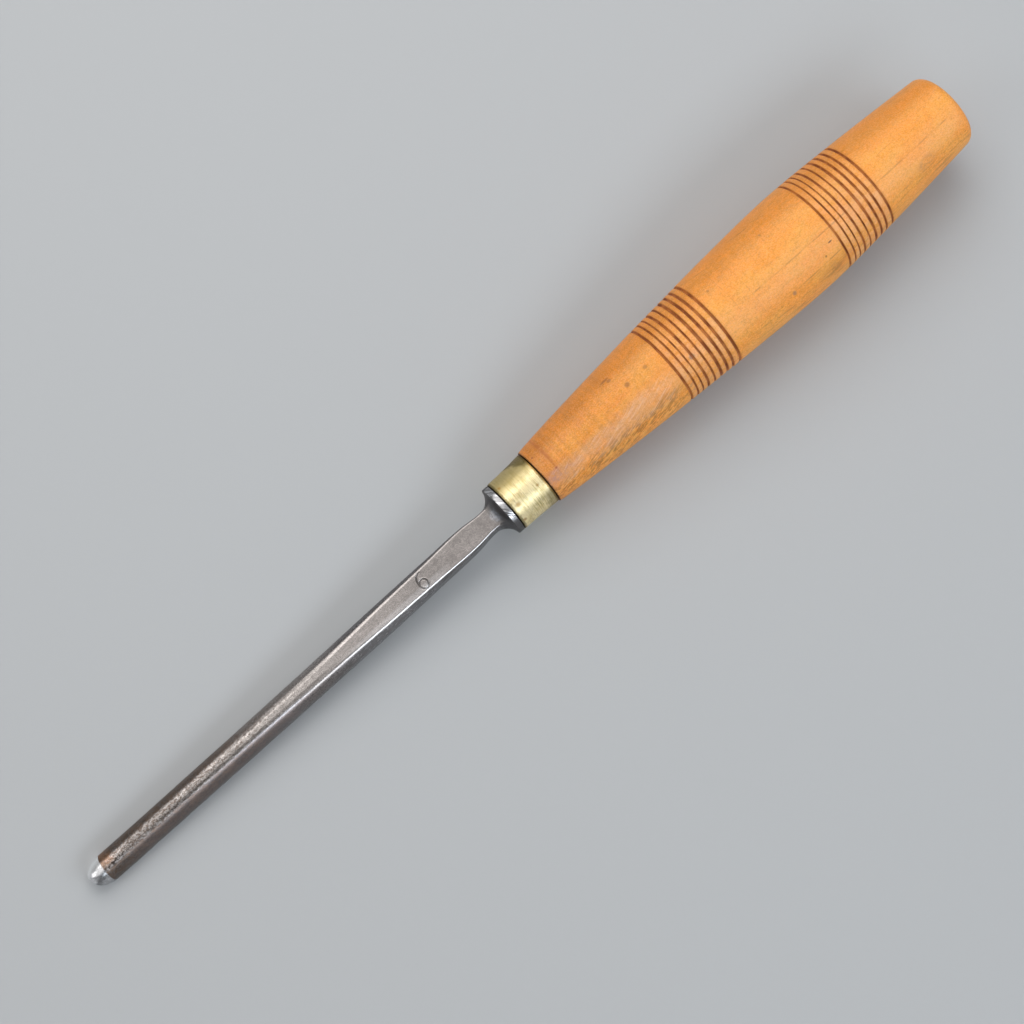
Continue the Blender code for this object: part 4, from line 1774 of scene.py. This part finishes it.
@dataclass
class Studio:
    """The floor, the light and the camera at the photo's angle."""

    floor_color: Color = (0.440, 0.451, 0.460)
    floor_roughness: float = 0.7
    backdrop: Color = (0.500, 0.510, 0.518)
    fade: Pair = (0.2, 0.75)
    floor_size: float = 60.0
    horizon: Color = (0.38, 0.39, 0.40)
    zenith: Color = (0.18, 0.183, 0.187)
    haze: Pair = (0.0, 0.15)
    sky_range: Pair = (0.20, 0.70)
    lamps: tuple[Lamp, ...] = (
        Lamp("key", 23.5, -88.0, (2.8, 0.90), 5.0, (1.0, 0.985, 0.965), 1.0, 0.60),
        Lamp("top", 36.0, -16.0, (0.7, 0.5), 2.1, (1.0, 0.99, 0.98), 0.62),
        Lamp("overhead", 12.0, 137.5, (1.0, 0.62), 0.75, (1.0, 0.99, 0.98), 1.0, -0.10),
        Lamp("strip", 50.0, 137.5, (1.2, 0.29), 4.3, (0.86, 0.93, 1.0), 1.0, -0.22),
        Lamp("front", 56.0, -112.0, (0.5, 0.5), 1.1, (1.0, 0.99, 0.98), 1.2),
        Lamp("fill", 54.0, 120.0, (2.1, 1.8), 3.8, (0.86, 0.93, 1.0), 2.0),
    )
    target: tuple[float, float, float] = (-0.0053, -0.0004, 0.0)
    azimuth: float = -42.52
    elevation: float = 77.88
    distance: float = 0.5351
    lens: float = 86.7

    def floor(self) -> None:
        """A plain floor under the tool, which far away fades to the pale backdrop, in view and in mirrors."""
        half = self.floor_size / 2
        mesh = bpy.data.meshes.new("floor")
        corners = [(-half, -half, 0.0), (half, -half, 0.0), (half, half, 0.0), (-half, half, 0.0)]
        mesh.from_pydata(corners, [], [(0, 1, 2, 3)])
        g = Surface("pale_floor")
        away = g.vector("LENGTH", g.node("ShaderNodeTexCoord", None, None, "Object"), output=1)
        camera, glossy, through = (
            g.node("ShaderNodeLightPath", None, None, f"Is {kind} Ray")
            for kind in ("Camera", "Glossy", "Transmission")
        )
        far = g.step(away, *self.fade) * g.math("MAXIMUM", camera, g.math("MAXIMUM", glossy, through))
        glow = g.node("ShaderNodeEmission", None, {"Color": self.backdrop})
        faded = g.node("ShaderNodeMixShader", None, {0: far, 1: Socket(g, g.shader.outputs[0]), 2: glow})
        g.feed(g.tree.nodes["Material Output"], {"Surface": faded})
        mesh.materials.append(g.finish(base_color=self.floor_color, roughness=self.floor_roughness))
        add("floor", mesh)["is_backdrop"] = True

    def light(self) -> None:
        """The lamps, and a sky that meets the backdrop at the horizon and darkens upward."""
        for lamp in self.lamps:
            lamp.build(math.radians(self.azimuth))
        world = bpy.data.worlds.new("sky")
        world.use_nodes = True
        g = Graph(world.node_tree, "Background")
        direction = g.node("ShaderNodeTexCoord", None, None, "Generated")
        height = g.node("ShaderNodeSeparateXYZ", None, {0: direction}, "Z")
        sky = g.mix(g.step(height, *self.sky_range), self.horizon, self.zenith)
        g.feed(g.shader, {"Color": g.mix(g.step(height, *self.haze), self.backdrop, sky)})
        bpy.context.scene.world = world

    def camera(self) -> None:
        """The camera."""
        turn, rise = math.radians(self.azimuth), math.radians(self.elevation)
        back = Vector((math.sin(turn) * math.cos(rise), -math.cos(turn) * math.cos(rise), math.sin(rise)))
        data = bpy.data.cameras.new("camera")
        data.lens = self.lens
        data.clip_start = 0.01
        obj = add("camera", data)
        obj.location = Vector(self.target) + back * self.distance
        obj.rotation_mode = "QUATERNION"
        obj.rotation_quaternion = (-back).to_track_quat("-Z", "Y")
        bpy.context.scene.camera = obj

    def build(self) -> None:
        """Sets up the whole studio."""
        self.floor()
        self.light()
        self.camera()
        bpy.context.scene.view_settings.view_transform = "Standard"


def corners() -> list[list[float]]:
    """The lowest and highest corner of what is shown, as plain lists."""
    return [list(corner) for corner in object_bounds()]


def main() -> None:
    """Builds the gouge and its studio."""
    logging.basicConfig(level=logging.INFO, format="%(message)s")
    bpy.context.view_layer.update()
    axis = ToolAxis.from_record(frame["record"])
    for piece in (Blade(), Ferrule(), Handle()):
        piece.dress(piece.build(axis), axis)
    Studio().build()


if __name__ == "__main__":
    main()
